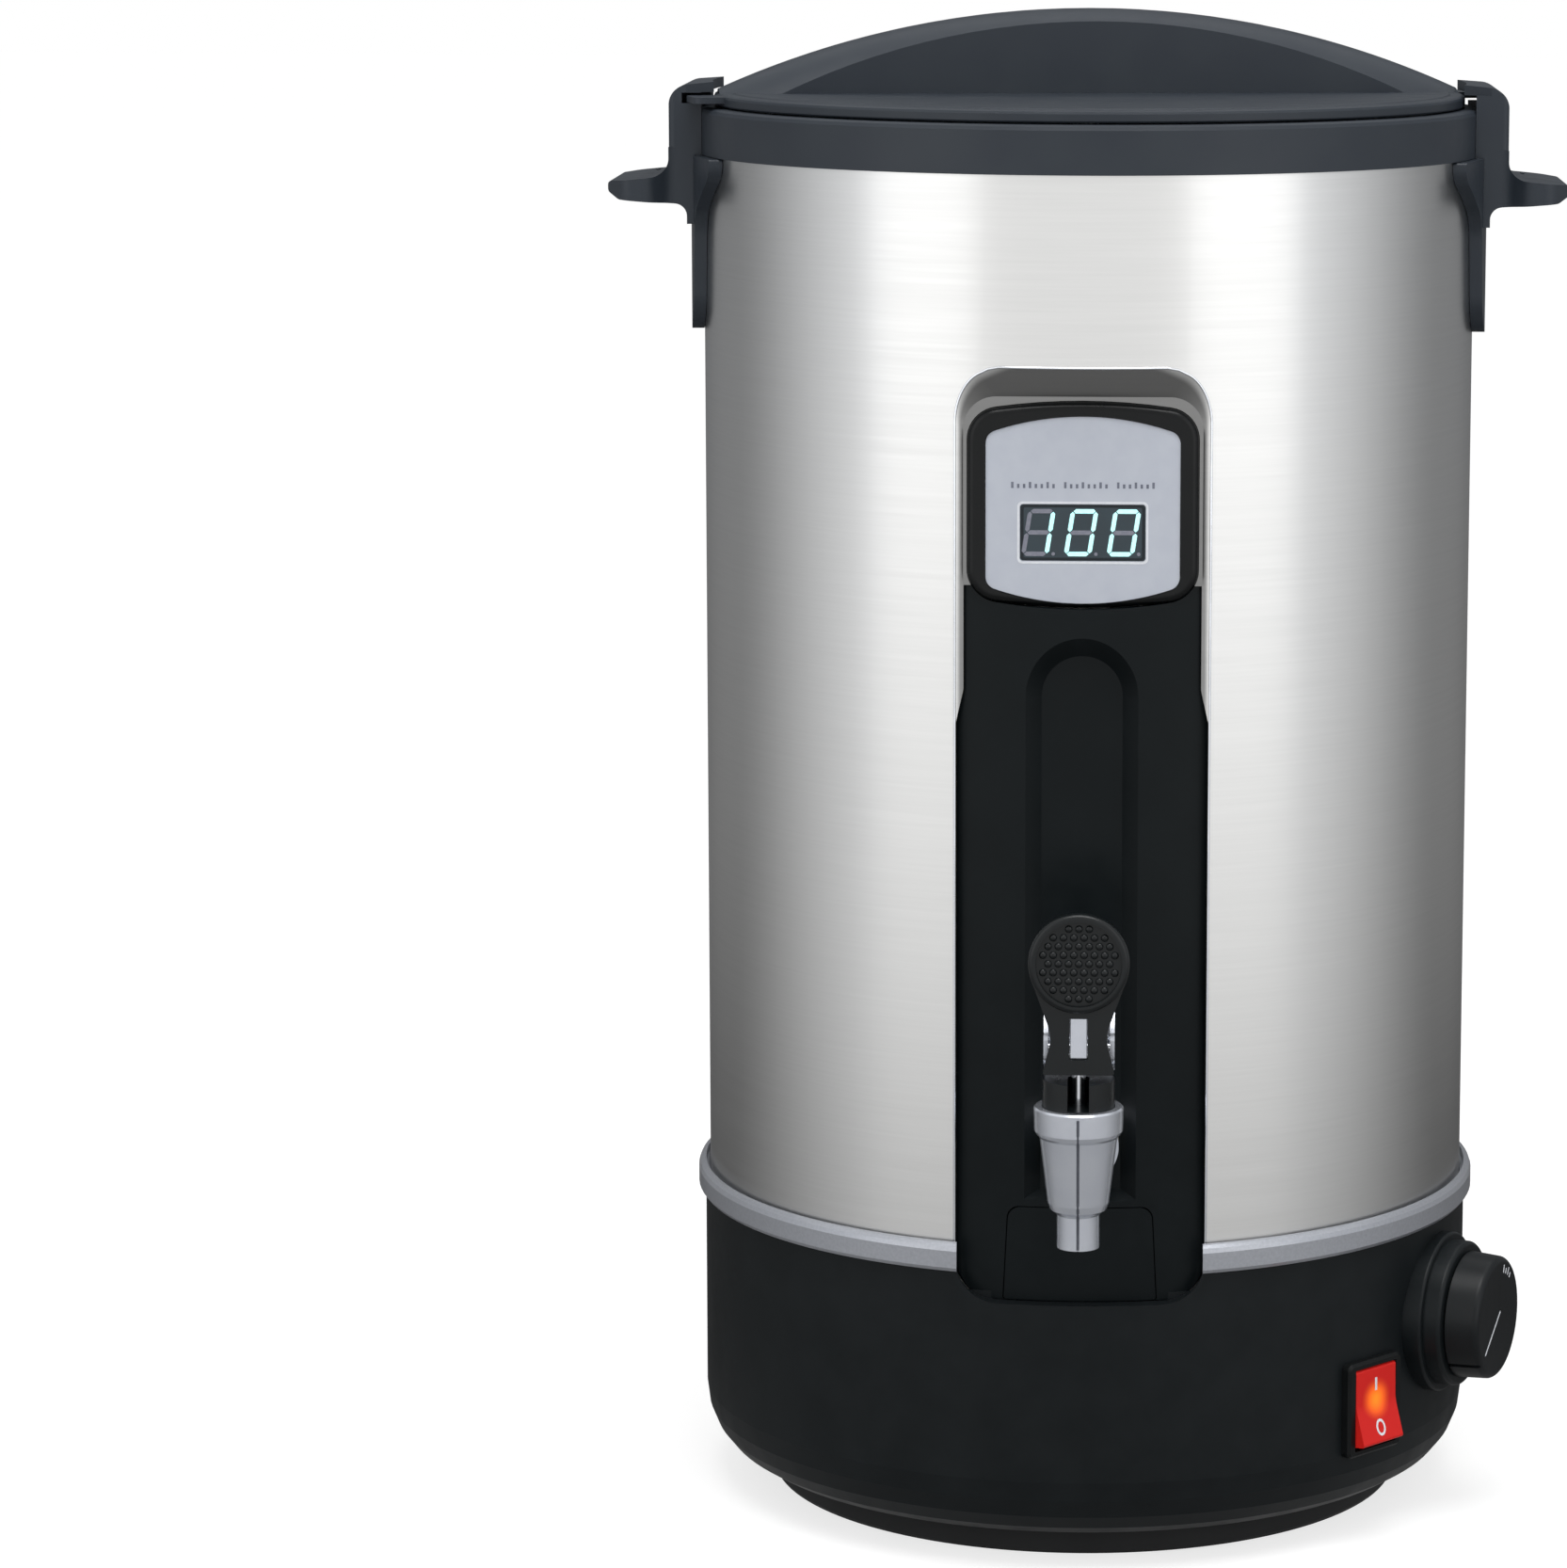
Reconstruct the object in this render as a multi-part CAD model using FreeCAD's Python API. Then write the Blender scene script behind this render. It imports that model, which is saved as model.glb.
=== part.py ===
import FreeCAD, Part
import math
import os

# Electric wax melting urn, 12 litre. Origin: on the urn's axis, in the plane it stands on.
# +Z up, the tap looks along -Y, +X is to the right of someone who faces the tap. Millimetres.
V = FreeCAD.Vector
UP, RIGHT, BACK = V(0, 0, 1), V(1, 0, 0), V(0, 1, 0)
CENTRE = V(0, 0, 0)
BIG = 400.0  # a cutting tool's reach past everything

# ---------------------------------------------------------------- driving dimensions
# shell and pot
BODY_R = 125.0
STEEL = 0.8
SHELL_SHOWN = 333.0  # height of bare steel between the trim ring and the rim ring
SHELL_SEAT = 7.0  # how deep the shell stands in the base
SHELL_IN_RIM = 6.0  # how far the shell reaches up into the rim ring
POT_R = BODY_R - 17.0
POT_WALL = 1.0
POT_BEND = 6.0
CORE_R = BODY_R - 25.0  # cuts through the wall from outside stop at this radius
LAP = 0.2  # clearance where one still piece slips into another
RUN = 0.06  # radial clearance of a turning or sliding fit
SCREW_R = 2.0

# base
BASE_R = BODY_R + 1.5
BASE_H = 97.0
BASE_WALL = 3.0
BASE_TAPER_Z = 30.0
BASE_UNDER_R = BASE_R - 16.5
FOOT_R = BASE_R - 21.9
FOOT_WIDTH = 9.0
FOOT_H = 9.0
UNDERSIDE_Z = FOOT_H + 0.5
PLATE_METAL = 1.0
BOTTOM_Z = UNDERSIDE_Z - PLATE_METAL
TRIM_R = BODY_R + 3.8
TRIM_H = 9.2
TRIM_GROOVE = 1.2
BASE_SCREW_ANGLES = (45, 135, 225, 315)
BASE_SCREW_R = FOOT_R - 16.6
BASE_SCREW_LENGTH = 11.0
POST_R = 5.0
POST_H = 16.0
VENT_X, VENT_W, VENT_L, VENT_STEP = 34.0, 4.0, 26.0, 9.0
VENT_CORNER = 1.9

# rim, lid and handles
RIM_R = BODY_R + 1.3
RIM_H = 15.1
RIM_SKIN = 0.15  # gap between the shell and what is pushed over it
RIM_LEDGE_DROP = 6.8  # the pot's flange sits this far below the rim's top
FLANGE_R = BODY_R - 6.2
LID_GAP = 0.5
LID_R = BODY_R - 3.4
LID_EDGE = 3.7
LID_WALL = 2.4
LID_STEP_R = LID_R - 5.2
LID_STEP = 0.4
GRIP_HALF = 15.0
GRIP_FACE_CHORD = LID_R - 18.6
GRIP_FACE_TOP = 23.4
GRIP_RIDGE_CHORD = LID_R + 3.4
GRIP_RIDGE_TOP = 27.2
GRIP_WALL = 2.3
GRIP_MOUTH = 12.0  # the grip's hollow ends this far inside its face
LID_REST_TURN = 8.0  # the lid lies this far from locked, seen from above
HANDLE_HALF = 24.0
HANDLE_OUT = BODY_R + 9.8
HANDLE_ROOF_H = 8.2
HANDLE_ROOF_T = 3.5
HANDLE_END = 3.5  # wall that closes one end of the tab's slot
SLOT_R = LID_R + 11.0
SLOT_H = 3.4
TAB_WIDTH = 16.5
TAB_R = SLOT_R - 1.3
TAB_T = 2.0
TAB_LIFT = 1.3
TAB_LEAD = 6.4  # the tab's own angle ahead of the grip bar
TAB_CORNER = 2.5
STUD_R = 4.0
STUD_FOOT_R = 9.0
STUD_BODY_R = 6.0
GASKET_T = 2.5
COVER_T = 0.6
COVER_R = FLANGE_R - 1.4
COVER_DISH_R = POT_R - 4.0
COVER_DISH_DEPTH = 5.0
CLIP_T = 1.0
CLIP_BITE = 0.8
PADDLE_OUT = HANDLE_OUT + 20.0
PADDLE_HALF = 30.0
PADDLE_DROP = 21.8  # top of the paddle below the rim's top
PADDLE_T = 7.6
PADDLE_TRAY = 1.0  # depth of the dish in its top
SADDLE_HALF = 48.0
SADDLE_H = 13.5
LEG_PROUD = 4.0
LEG_LENGTH = 57.0
LEG_HALF_TOP = 27.0
LEG_HALF_END = 22.0
HANDLE_SCREW_Y = 14.0
HANDLE_SCREW_DROP = 3.0

# front cut-out and its pressed surround
CUT_HALF = 39.4
CUT_TOP_BELOW_RIM = 58.5
CUT_CORNER = 12.0
COVE_DEPTH = 7.8
COVE_TOP_RUN = 9.4
COVE_TOP_SLOPE = 2.0
COVE_SIDE_HALF = CUT_HALF - 2.6
FRONT_PLANE = BODY_R + 2.0

# front housing with its channel
HOUSING_R = BODY_R - 3.5
HOUSING_T = 2.5
HOUSING_TOP_BELOW_CUT = 74.8
HOUSING_HALF = CUT_HALF - 3.0
HOUSING_SHOULDER_DROP = 28.9
HOUSING_SLOPE = 7.0
HOUSING_LOW_HALF = CUT_HALF - 0.6
HOUSING_CORNER = 12.0
HOUSING_EAR = 7.0  # the top corners rise this far beside the bezel
HOUSING_FLANGE_Y = -(BODY_R - 12.6)
HOUSING_SCREW_X = (-13.0, 13.0)
HOUSING_SCREW_UP = 13.4
HOUSING_SCREW_HEAD_R, HOUSING_SCREW_HEAD_H = 2.8, 1.2
HOUSING_SCREW_SEAT = HOUSING_R - 3.4
CHANNEL_HALF = 19.4
CHANNEL_FLOOR_HALF = 12.5
CHANNEL_DEPTH = 5.8
CHANNEL_TOP_BELOW_HOUSING = 8.0
CHANNEL_WALL = 2.0
POCKET_HALF_TOP = 22.7
POCKET_HALF_FOOT = 24.2
POCKET_DEPTH = 2.2
POCKET_CORNER = 4.0
MOUNT_TAB_HALF = 20.0

# display
BEZEL_HALF = 35.5
BEZEL_FACE = HOUSING_R - 1.7  # distance of the face from the urn's axis
BEZEL_BACK = BEZEL_FACE - 5.6
BEZEL_FOOT_GAP = 0.4
BEZEL_H = 63.6
BEZEL_ARCH = 3.4
BEZEL_CORNER = 10.0
BEZEL_ROUND = 2.4
BEZEL_LIP = 2.6
PLATE_HALF = BEZEL_HALF - 5.7
PLATE_H = BEZEL_H - 6.0
PLATE_ARCH = 5.4
PLATE_CORNER = 4.0
PLATE_T = 1.0
PLATE_SUNK = 0.5
WINDOW_W = 38.5
WINDOW_H = 17.5
WINDOW_CORNER = 1.0
WINDOW_UP = 21.9  # centre of the window above the plate's foot
LENS_FRONT, LENS_BACK = 0.3, 1.5  # depths behind the plate's face
MODULE_DEPTH = 5.6
BOARD_T = 1.6
BOARD_HALF_H = 13.4
BOARD_SCREW_R = 1.0
BOARD_SCREW_UP = 8.0

# tap, heights from the shank's axis, depths from the spout's axis
SHANK_ABOVE_FLOOR = 25.0
TAP_REACH = 35.0  # the spout's axis stands this far out of the body
COLLAR_R = 13.7
COLLAR_UP = 22.6
COLLAR_H = 8.4
CONE_TOP_R = 11.85
CONE_FOOT_R = 9.4
CONE_DOWN = 7.2
SPOUT_R = 6.5
SPOUT_SHOULDER_DOWN = 10.4
SPOUT_DOWN = 21.4
SPOUT_BORE = 4.4
SEAT_DOWN = 6.0
CHAMBER_R = 7.2
CHAMBER_UP = 13.6
SHANK_R = 10.5
SHANK_FLANGE_R = 12.0
SHANK_FLANGE_T = 3.0
THREAD_R = 8.0
THREAD_LENGTH = 13.5
SHANK_BORE = 5.0
WASHER_R = 13.0
WASHER_T = 3.2
FRONT_WASHER_T = 1.6
NUT_AF = 24.0
NUT_T = 6.0
BONNET_R = 11.0
BONNET_UP = 31.2
BONNET_PLUG = 4.0
BONNET_SLOT_HALF = 3.3
STEM_R = 2.25
STEM_UP = 39.6
STEM_SEAT = 2.2
STEM_COLLAR_T = 1.2
PLUG_H = 5.4
SPRING_WIRE_R = 0.45
SPRING_R = 4.2
SPRING_TURNS = 3.0
CROSS_PIN_R = 1.4
CROSS_PIN_HALF = 5.4
LEVER_PIN_BACK = 7.0
LEVER_PIN_UP = 39.0
LEVER_PIN_R = 1.5
LEVER_FRONT_OUT = 7.0
LEVER_T = 3.0
LEVER_DISC_R = 15.3
LEVER_DISC_UP = 29.0  # this and the next are from the lever's pin
LEVER_DOWN = 5.4
LEVER_FOOT_HALF = 10.9
LEVER_NECK_HALF = 8.6
LEVER_NECK_UP = 6.0
LEVER_EAR_T = 1.9
LEVER_RIM = 2.2
LEVER_PAD_PROUD = 1.6
LEVER_BOSS_R = 3.5
LEVER_WINDOW_HALF, LEVER_WINDOW_FOOT, LEVER_WINDOW_TOP = 2.75, -0.7, 12.2
BRACKET_HALF = 10.8
BRACKET_T = 1.4
BRACKET_UP = 21.0
BRACKET_BACK = 4.5

# controls on the base, angles from the tap towards +X
KNOB_AZ = 66.5
KNOB_BELOW_BASE_TOP = 31.0
KNOB_R = 20.5
KNOB_FACE = BASE_R + 21.0
KNOB_ROUND = 2.2
KNOB_GAP = 0.6
POINTER_R = 15.5
POINTER_TURN = 220.0  # the pointer at rest, anticlockwise from the right
ESCUTCHEON_R = 26.0
ESCUTCHEON_BOSS_R = 23.6
ESCUTCHEON_STEP = BASE_R + 3.6
ESCUTCHEON_FACE = BASE_R + 9.4
SPINDLE_R = 3.0
SPINDLE_COVER = 4.0  # material between the spindle's end and the knob's face
BUSH_R = 5.0
THERMOSTAT_HALF = 21.0
THERMOSTAT_DEPTH = 32.0
THERMOSTAT_BELOW = 15.0
ROCKER_AZ = 47.0
ROCKER_BELOW_BASE_TOP = 52.2
FRAME_H = 31.0
FRAME_W = 25.5
FRAME_FACE = BASE_R + 2.8
OPENING_H = 26.8
OPENING_W = 19.7
OPENING_DEPTH = 13.0
ROCKER_SWING = 18.0
ROCKER_PIVOT = FRAME_FACE - 3.3
PIVOT_R = 1.2
SWITCH_BODY_W = 21.8
SWITCH_BODY_H = 27.6
SWITCH_DEPTH = 24.0
BLADE_HALF_T, BLADE_HALF_W, BLADE_LENGTH = 0.4, 3.1, 9.0
INLET_BELOW_BASE_TOP = 47.0
INLET_W = 48.0
INLET_H = 23.0
INLET_CORNER = 6.0
INLET_FACE = BASE_R + 3.1
INLET_BODY_W = 27.0
INLET_BODY_H = 19.8
INLET_DEPTH = 24.0
INLET_CAVITY_DEPTH = 17.5
INLET_PIN_DEPTH = 31.0
INLET_PINS = ((-7.0, -2.2), (7.0, -2.2), (0.0, 1.8))
INLET_SCREW_X = 20.0

# heating parts and wiring
HEAT_PLATE_T = 4.0
HEAT_PLATE_R = POT_R - 16.0
ELEMENT_R = HEAT_PLATE_R - 22.0
ELEMENT_ROD_R = 4.0
TERMINAL_X = 14.0
TERMINAL_Y = ELEMENT_R - 2.0
SHIELD_T = 0.8
SHIELD_RIB_R = 62.0
TIE_R = 4.0
TIE_HEAD_R = 7.5
TIE_NUT_R = 8.1
TIE_WASHER_T = 1.2
BULB_R = 3.0
BULB_LENGTH = 32.0
BULB_X, BULB_Y = 40.0, -30.0
CAPILLARY_R = 1.0
CUTOUT_Y = -40.0
CUTOUT_R = 8.0
PROBE_AZ = 18.5
PROBE_UP = 100.0
PROBE_R = 2.0
PROBE_LENGTH = 18.0
BLOCK_HALF, BLOCK_Y0, BLOCK_Y1, BLOCK_H = 24.0, 34.0, 48.0, 15.0
BLOCK_STEP = 16.0
WELL_R, WELL_FLOOR = 3.6, 7.0
WIRE_R = 1.3
WIRE_RISE_X, WIRE_RISE_Y = 30.0, ELEMENT_R + 10.0
WIRE_HOLE_R = 9.0

# ---------------------------------------------------------------- levels that follow
BASE_TOP = BASE_H
TRIM_TOP = BASE_TOP + TRIM_H
SHELL_FOOT = BASE_TOP - SHELL_SEAT
SHIELD_Z = SHELL_FOOT - 5.5
POT_FLOOR_Z = BASE_TOP + 15.0
RIM_FOOT = TRIM_TOP + SHELL_SHOWN
RIM_TOP = RIM_FOOT + RIM_H
POT_LEDGE = RIM_TOP - RIM_LEDGE_DROP
GASKET_Z = POT_LEDGE + POT_WALL
COVER_Z = GASKET_Z + GASKET_T
LID_Z = RIM_TOP + LID_GAP
DECK_Z = LID_Z + LID_EDGE
PADDLE_TOP = RIM_TOP - PADDLE_DROP
LEG_END = RIM_FOOT - LEG_LENGTH
ROOF_TOP = RIM_TOP + HANDLE_ROOF_H
SLOT_FLOOR = LID_Z + TAB_LIFT - 0.6

CUT_TOP = RIM_FOOT - CUT_TOP_BELOW_RIM
COVE_Y = -(BODY_R - COVE_DEPTH)
HOUSING_TOP = CUT_TOP - HOUSING_TOP_BELOW_CUT
HOUSING_FOOT_Z = SHELL_FOOT - 2.4
HOUSING_SHOULDER_Z = HOUSING_TOP - HOUSING_SHOULDER_DROP
HOUSING_SCREW_Z = HOUSING_FOOT_Z + HOUSING_SCREW_UP
CHANNEL_FLOOR_Y = -(HOUSING_R - CHANNEL_DEPTH)
BEZEL_FOOT = HOUSING_TOP + BEZEL_FOOT_GAP
BEZEL_TOP = BEZEL_FOOT + BEZEL_H
PLATE_FOOT = BEZEL_FOOT + (BEZEL_H - PLATE_H) / 4
PLATE_FACE_Y = -(BEZEL_FACE - PLATE_SUNK)
PLATE_BACK_Y = PLATE_FACE_Y + PLATE_T
BOARD_Y = PLATE_BACK_Y + MODULE_DEPTH
WINDOW_Z = PLATE_FOOT + WINDOW_UP

SHANK_Z = POT_FLOOR_Z + SHANK_ABOVE_FLOOR
TAP_Y = -(BODY_R + TAP_REACH)
COLLAR_TOP = SHANK_Z + COLLAR_UP
CONE_FOOT_Z = SHANK_Z - CONE_DOWN
SPOUT_SHOULDER_Z = SHANK_Z - SPOUT_SHOULDER_DOWN
SPOUT_TIP_Z = SHANK_Z - SPOUT_DOWN
POCKET_TOP_Z = SPOUT_TIP_Z + 2.2
SEAT_Z = SHANK_Z - SEAT_DOWN
CHAMBER_TOP = SHANK_Z + CHAMBER_UP
BONNET_TOP = SHANK_Z + BONNET_UP
STEM_TOP = SHANK_Z + STEM_UP
STEM_COLLAR_Z = SEAT_Z + PLUG_H
LEVER_PIN_Y = TAP_Y + LEVER_PIN_BACK
LEVER_PIN_Z = SHANK_Z + LEVER_PIN_UP
LEVER_FRONT = TAP_Y - LEVER_FRONT_OUT
LEVER_DISC_Z = LEVER_PIN_Z + LEVER_DISC_UP
LEVER_FOOT_Z = LEVER_PIN_Z - LEVER_DOWN
CROSS_PIN_Z = LEVER_PIN_Z - 1.3
WEB_Z0, WEB_Z1 = LEVER_PIN_Z - 5.0, LEVER_PIN_Z - 3.0
BRACKET_TOP = LEVER_PIN_Z + BRACKET_UP
BRACKET_Y = LEVER_PIN_Y + BRACKET_BACK
POT_SEAT_Y = -(POT_R + 1.3)  # where the tap's flat shoulder meets its washer
NUT_Y = -(POT_R - POT_WALL - WASHER_T)

KNOB_Z = BASE_TOP - KNOB_BELOW_BASE_TOP
ROCKER_Z = BASE_TOP - ROCKER_BELOW_BASE_TOP
INLET_Z = BASE_TOP - INLET_BELOW_BASE_TOP
THERMOSTAT_FRONT = BASE_R - BASE_WALL - 1.0
THERMOSTAT_BACK = THERMOSTAT_FRONT - THERMOSTAT_DEPTH
PLATE_UNDER = POT_FLOOR_Z - HEAT_PLATE_T
BLOCK_Z = BOTTOM_Z + PLATE_METAL


# ---------------------------------------------------------------- small helpers
def disc(r, z0, z1, x=0.0, y=0.0):
    return Part.makeCylinder(r, z1 - z0, V(x, y, z0), UP)


def ring(r_out, r_in, z0, z1):
    return disc(r_out, z0, z1).cut(disc(r_in, z0 - 1, z1 + 1))


def block(x0, x1, y0, y1, z0, z1):
    return Part.makeBox(x1 - x0, y1 - y0, z1 - z0, V(x0, y0, z0))


def blade(x, y, half_x, half_y, z0, z1):
    """A flat contact tab, centred on x and y."""
    return block(x - half_x, x + half_x, y - half_y, y + half_y, z0, z1)


def rod(start, way, r, length):
    return Part.makeCylinder(r, length, start, way)


def turned(profile):
    """A solid of revolution about the urn's axis from (radius, z) corners."""
    points = [V(r, 0, z) for r, z in profile]
    face = Part.Face(Part.makePolygon(points + points[:1]))
    return face.revolve(CENTRE, UP, 360)


def rounded(corners, place):
    """A closed wire through (u, v, radius) corners, laid out by place(u, v)."""
    edges, count = [], len(corners)
    starts, ends, middles = [], [], []
    for i, (u, v, r) in enumerate(corners):
        before, after = corners[i - 1], corners[(i + 1) % count]
        p = V(u, v, 0)
        back, on = V(before[0], before[1], 0) - p, V(after[0], after[1], 0) - p
        back.normalize()
        on.normalize()
        if r <= 0:
            starts.append(p)
            ends.append(p)
            middles.append(None)
            continue
        half = back.getAngle(on) / 2
        reach = r / math.tan(half)
        inward = back + on
        inward.normalize()
        centre = p + inward * (r / math.sin(half))
        starts.append(p + back * reach)
        ends.append(p + on * reach)
        middles.append(centre - inward * r)
    for i in range(count):
        if middles[i] is not None:
            arc = [place(q.x, q.y) for q in (starts[i], middles[i], ends[i])]
            edges.append(Part.Arc(*arc).toShape())
        a, b = ends[i], starts[(i + 1) % count]
        if (b - a).Length > 1e-6:
            edges.append(Part.LineSegment(place(a.x, a.y), place(b.x, b.y)).toShape())
    return Part.Wire(edges)


def front_wire(corners, y):
    return rounded(corners, lambda u, v: V(u, y, v))


def front_prism(corners, y0, y1):
    """An outline seen from the front, (x, z, corner radius), between two depths."""
    return Part.Face(front_wire(corners, y0)).extrude(V(0, y1 - y0, 0))


def plan_prism(corners, z0, z1):
    wire = rounded(corners, lambda u, v: V(u, v, z0))
    return Part.Face(wire).extrude(V(0, 0, z1 - z0))


def side_prism(corners, x0, x1):
    """An outline seen from the side, (y, z, corner radius), between two x."""
    wire = rounded(corners, lambda u, v: V(x0, u, v))
    return Part.Face(wire).extrude(V(x1 - x0, 0, 0))


def upright(half_w, z0, z1, foot_r, top_r):
    """Corners of an upright panel, symmetric about x = 0."""
    return [(-half_w, z0, foot_r), (half_w, z0, foot_r), (half_w, z1, top_r), (-half_w, z1, top_r)]


def barrel(half_w, z0, z1, arch, corner, y0, y1):
    """A panel whose top and foot bow outwards by arch."""
    bow_r = (half_w * half_w + arch * arch) / (2 * arch)
    panel = block(-half_w, half_w, y0, y1, z0, z1)
    for centre_z in (z1 - bow_r, z0 + bow_r):
        panel = panel.common(rod(V(0, y0, centre_z), BACK, bow_r, y1 - y0))
    edges = [e for e in panel.Edges if is_along_y(e) and abs(abs(e.Vertexes[0].X) - half_w) < 0.01]
    return panel.makeFillet(corner, edges)


def is_along_y(edge):
    a, b = edge.Vertexes[0].Point, edge.Vertexes[-1].Point
    return abs(a.x - b.x) < 1e-5 and abs(a.z - b.z) < 1e-5 and abs(a.y - b.y) > 1e-3


def front_edges(shape, y):
    """The edges of shape that lie in the plane of that depth."""
    return [e for e in shape.Edges if abs(e.BoundBox.YMin - y) < 0.01 and abs(e.BoundBox.YMax - y) < 0.01]


def fused(pieces):
    whole = pieces[0]
    for piece in pieces[1:]:
        whole = whole.fuse(piece)
    return whole


def cut(shape, tools):
    for tool in tools:
        shape = shape.cut(tool)
    return shape


def at_azimuth(shape, degrees):
    """Swings what was modelled at the front round the urn's axis, towards +X."""
    copy = shape.copy()
    copy.rotate(CENTRE, UP, degrees)
    return copy


def opposite(shape):
    return at_azimuth(shape, 180)


def tube_path(points, r):
    """A wire or pipe as straight runs with ball joints at the bends."""
    runs = []
    for a, b in zip(points, points[1:]):
        runs.append(rod(a, b - a, r, (b - a).Length))
    for p in points[1:-1]:
        runs.append(Part.makeSphere(r, p))
    return fused(runs)


def screw_along(tip, way, r, length, head_r, head_h):
    """A pan head screw with a cross recess: tip, direction from tip to head, shank and head."""
    crown_z, floor = length + head_h, length + head_h * 0.45
    head = disc(head_r, length, crown_z)
    crown = [e for e in head.Edges if isinstance(e.Curve, Part.Circle) and e.BoundBox.ZMin > floor]
    head = head.makeFillet(head_h * 0.45, crown)
    half, slit = head_r * 0.45, head_r * 0.11
    cross = [
        block(-half, half, -slit, slit, floor, crown_z + 1),
        block(-slit, slit, -half, half, floor, crown_z + 1),
    ]
    screw = cut(disc(r, 0, length).fuse(head), cross)
    screw.Placement = FreeCAD.Placement(tip, FreeCAD.Rotation(UP, way))
    return screw


def box_outline(half_w, z0, z1, corner):
    """Corners of a panel with the same radius all round."""
    return upright(half_w, z0, z1, corner, corner)


def save(name, shape):
    solids = shape.Solids
    assert solids and all(s.isValid() and s.Volume > 0 for s in solids), name
    out = solids[0] if len(solids) == 1 else Part.Compound(solids)
    out.exportStep("parts/" + name + ".step")
    print(f"{name}: {len(solids)} solid(s), {sum(s.Volume for s in solids) / 1000:.2f} cm3")


# ---------------------------------------------------------------- shell, pot and base
def cove(behind):
    """The tapered space of the front cut-out, moved back into the urn by behind and widened by most of it.

    Its roof slopes up steeply and then runs level, so that the edge on the round shell is straight."""
    wider = 0.6 * behind
    slope_side = (CUT_HALF - COVE_SIDE_HALF) / (math.sqrt(BODY_R**2 - CUT_HALF**2) + COVE_Y)
    run = FRONT_PLANE + COVE_Y
    outer_half = COVE_SIDE_HALF + slope_side * run
    inner_top = CUT_TOP - COVE_TOP_RUN
    outer_top = inner_top + COVE_TOP_SLOPE * run
    foot = SHELL_FOOT - 20
    wires = []
    for half, top, y, corner in (
        (outer_half, outer_top, -FRONT_PLANE, CUT_CORNER + 1.5),
        (COVE_SIDE_HALF, inner_top, COVE_Y, CUT_CORNER - 2),
    ):
        wires.append(front_wire(upright(half + wider, foot, top + wider, 0, corner + wider), y))
    space = Part.makeLoft(wires, True, True)
    space.translate(V(0, behind, 0))
    return space.common(block(-BIG, BIG, -BIG, 0, foot - 1, CUT_TOP + wider))


def bezel_space(grow):
    """The bezel's outline cut through everything, larger by grow."""
    foot, top = BEZEL_FOOT - grow, BEZEL_TOP + grow
    return barrel(BEZEL_HALF + grow, foot, top, BEZEL_ARCH, BEZEL_CORNER + grow, -BIG, 0)


def housing_outline(grow):
    low, high = HOUSING_LOW_HALF + grow, HOUSING_HALF + grow
    foot, shoulder = HOUSING_FOOT_Z - grow, HOUSING_SHOULDER_Z + grow
    top = HOUSING_TOP + HOUSING_EAR + grow
    slope = HOUSING_SLOPE
    return [
        (-low, foot, HOUSING_CORNER + grow),
        (low, foot, HOUSING_CORNER + grow),
        (low, shoulder - slope, 5),
        (high, shoulder + slope / 2, 5),
        (high, top, 0),
        (-high, top, 0),
        (-high, shoulder + slope / 2, 5),
        (-low, shoulder - slope, 5),
    ]


def make_outer_shell():
    top = RIM_FOOT + SHELL_IN_RIM
    holes = [rod(V(CORE_R, y, z), RIGHT, SCREW_R + 0.1, BODY_R) for y, z in handle_screw_places()]
    holes += [opposite(h) for h in holes]
    wall = cut(ring(BODY_R, BODY_R - STEEL, SHELL_FOOT + LAP, top), holes)
    wall = wall.cut(cove(0))
    surround = cove(STEEL).cut(cove(0))
    surround = surround.common(disc(BODY_R, SHELL_FOOT + LAP, top))
    shell = fused([wall, surround])
    return cut(shell, [bezel_space(LAP), front_prism(housing_outline(LAP), -BIG, COVE_Y + STEEL + 1)])


def make_inner_pot():
    r_in = POT_R - POT_WALL
    outside = disc(POT_R, POT_FLOOR_Z, POT_LEDGE + POT_WALL)
    outside = outside.makeFillet(POT_BEND, [lowest_round_edge(outside)])
    inside = disc(r_in, POT_FLOOR_Z + POT_WALL, POT_LEDGE + POT_WALL + 1)
    inside = inside.makeFillet(POT_BEND - POT_WALL, [lowest_round_edge(inside)])
    flange = ring(FLANGE_R, r_in, POT_LEDGE, POT_LEDGE + POT_WALL)
    pot = fused([outside, flange]).cut(inside)
    outlet = rod(V(0, -POT_R - 5, SHANK_Z), BACK, THREAD_R + LAP, 20)
    return pot.cut(outlet)


def lowest_round_edge(shape):
    rounds = [e for e in shape.Edges if isinstance(e.Curve, Part.Circle) and e.Length > 1]
    return min(rounds, key=lambda e: e.BoundBox.ZMax)


def make_insulation():
    gap_in, gap_out = POT_R + 0.6, BODY_R - STEEL - 4.8
    wool = ring(gap_out, gap_in, POT_FLOOR_Z + 4, RIM_FOOT - 4)
    window = front_prism(upright(CUT_HALF + 6, 0, CUT_TOP + 6, 0, 10), -BIG, 0)
    return wool.cut(window)


def base_outline():
    """The base's outer profile from the top down, (radius, z)."""
    drop = BASE_TAPER_Z - UNDERSIDE_Z
    points = [(BASE_R, BASE_TOP), (BASE_R, BASE_TAPER_Z)]
    steps = 5
    for i in range(1, steps + 1):  # an elliptical turn under
        a = math.pi / 2 * i / steps
        r = BASE_UNDER_R + (BASE_R - BASE_UNDER_R) * math.cos(a)
        points.append((r, BASE_TAPER_Z - drop * math.sin(a)))
    return points


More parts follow.
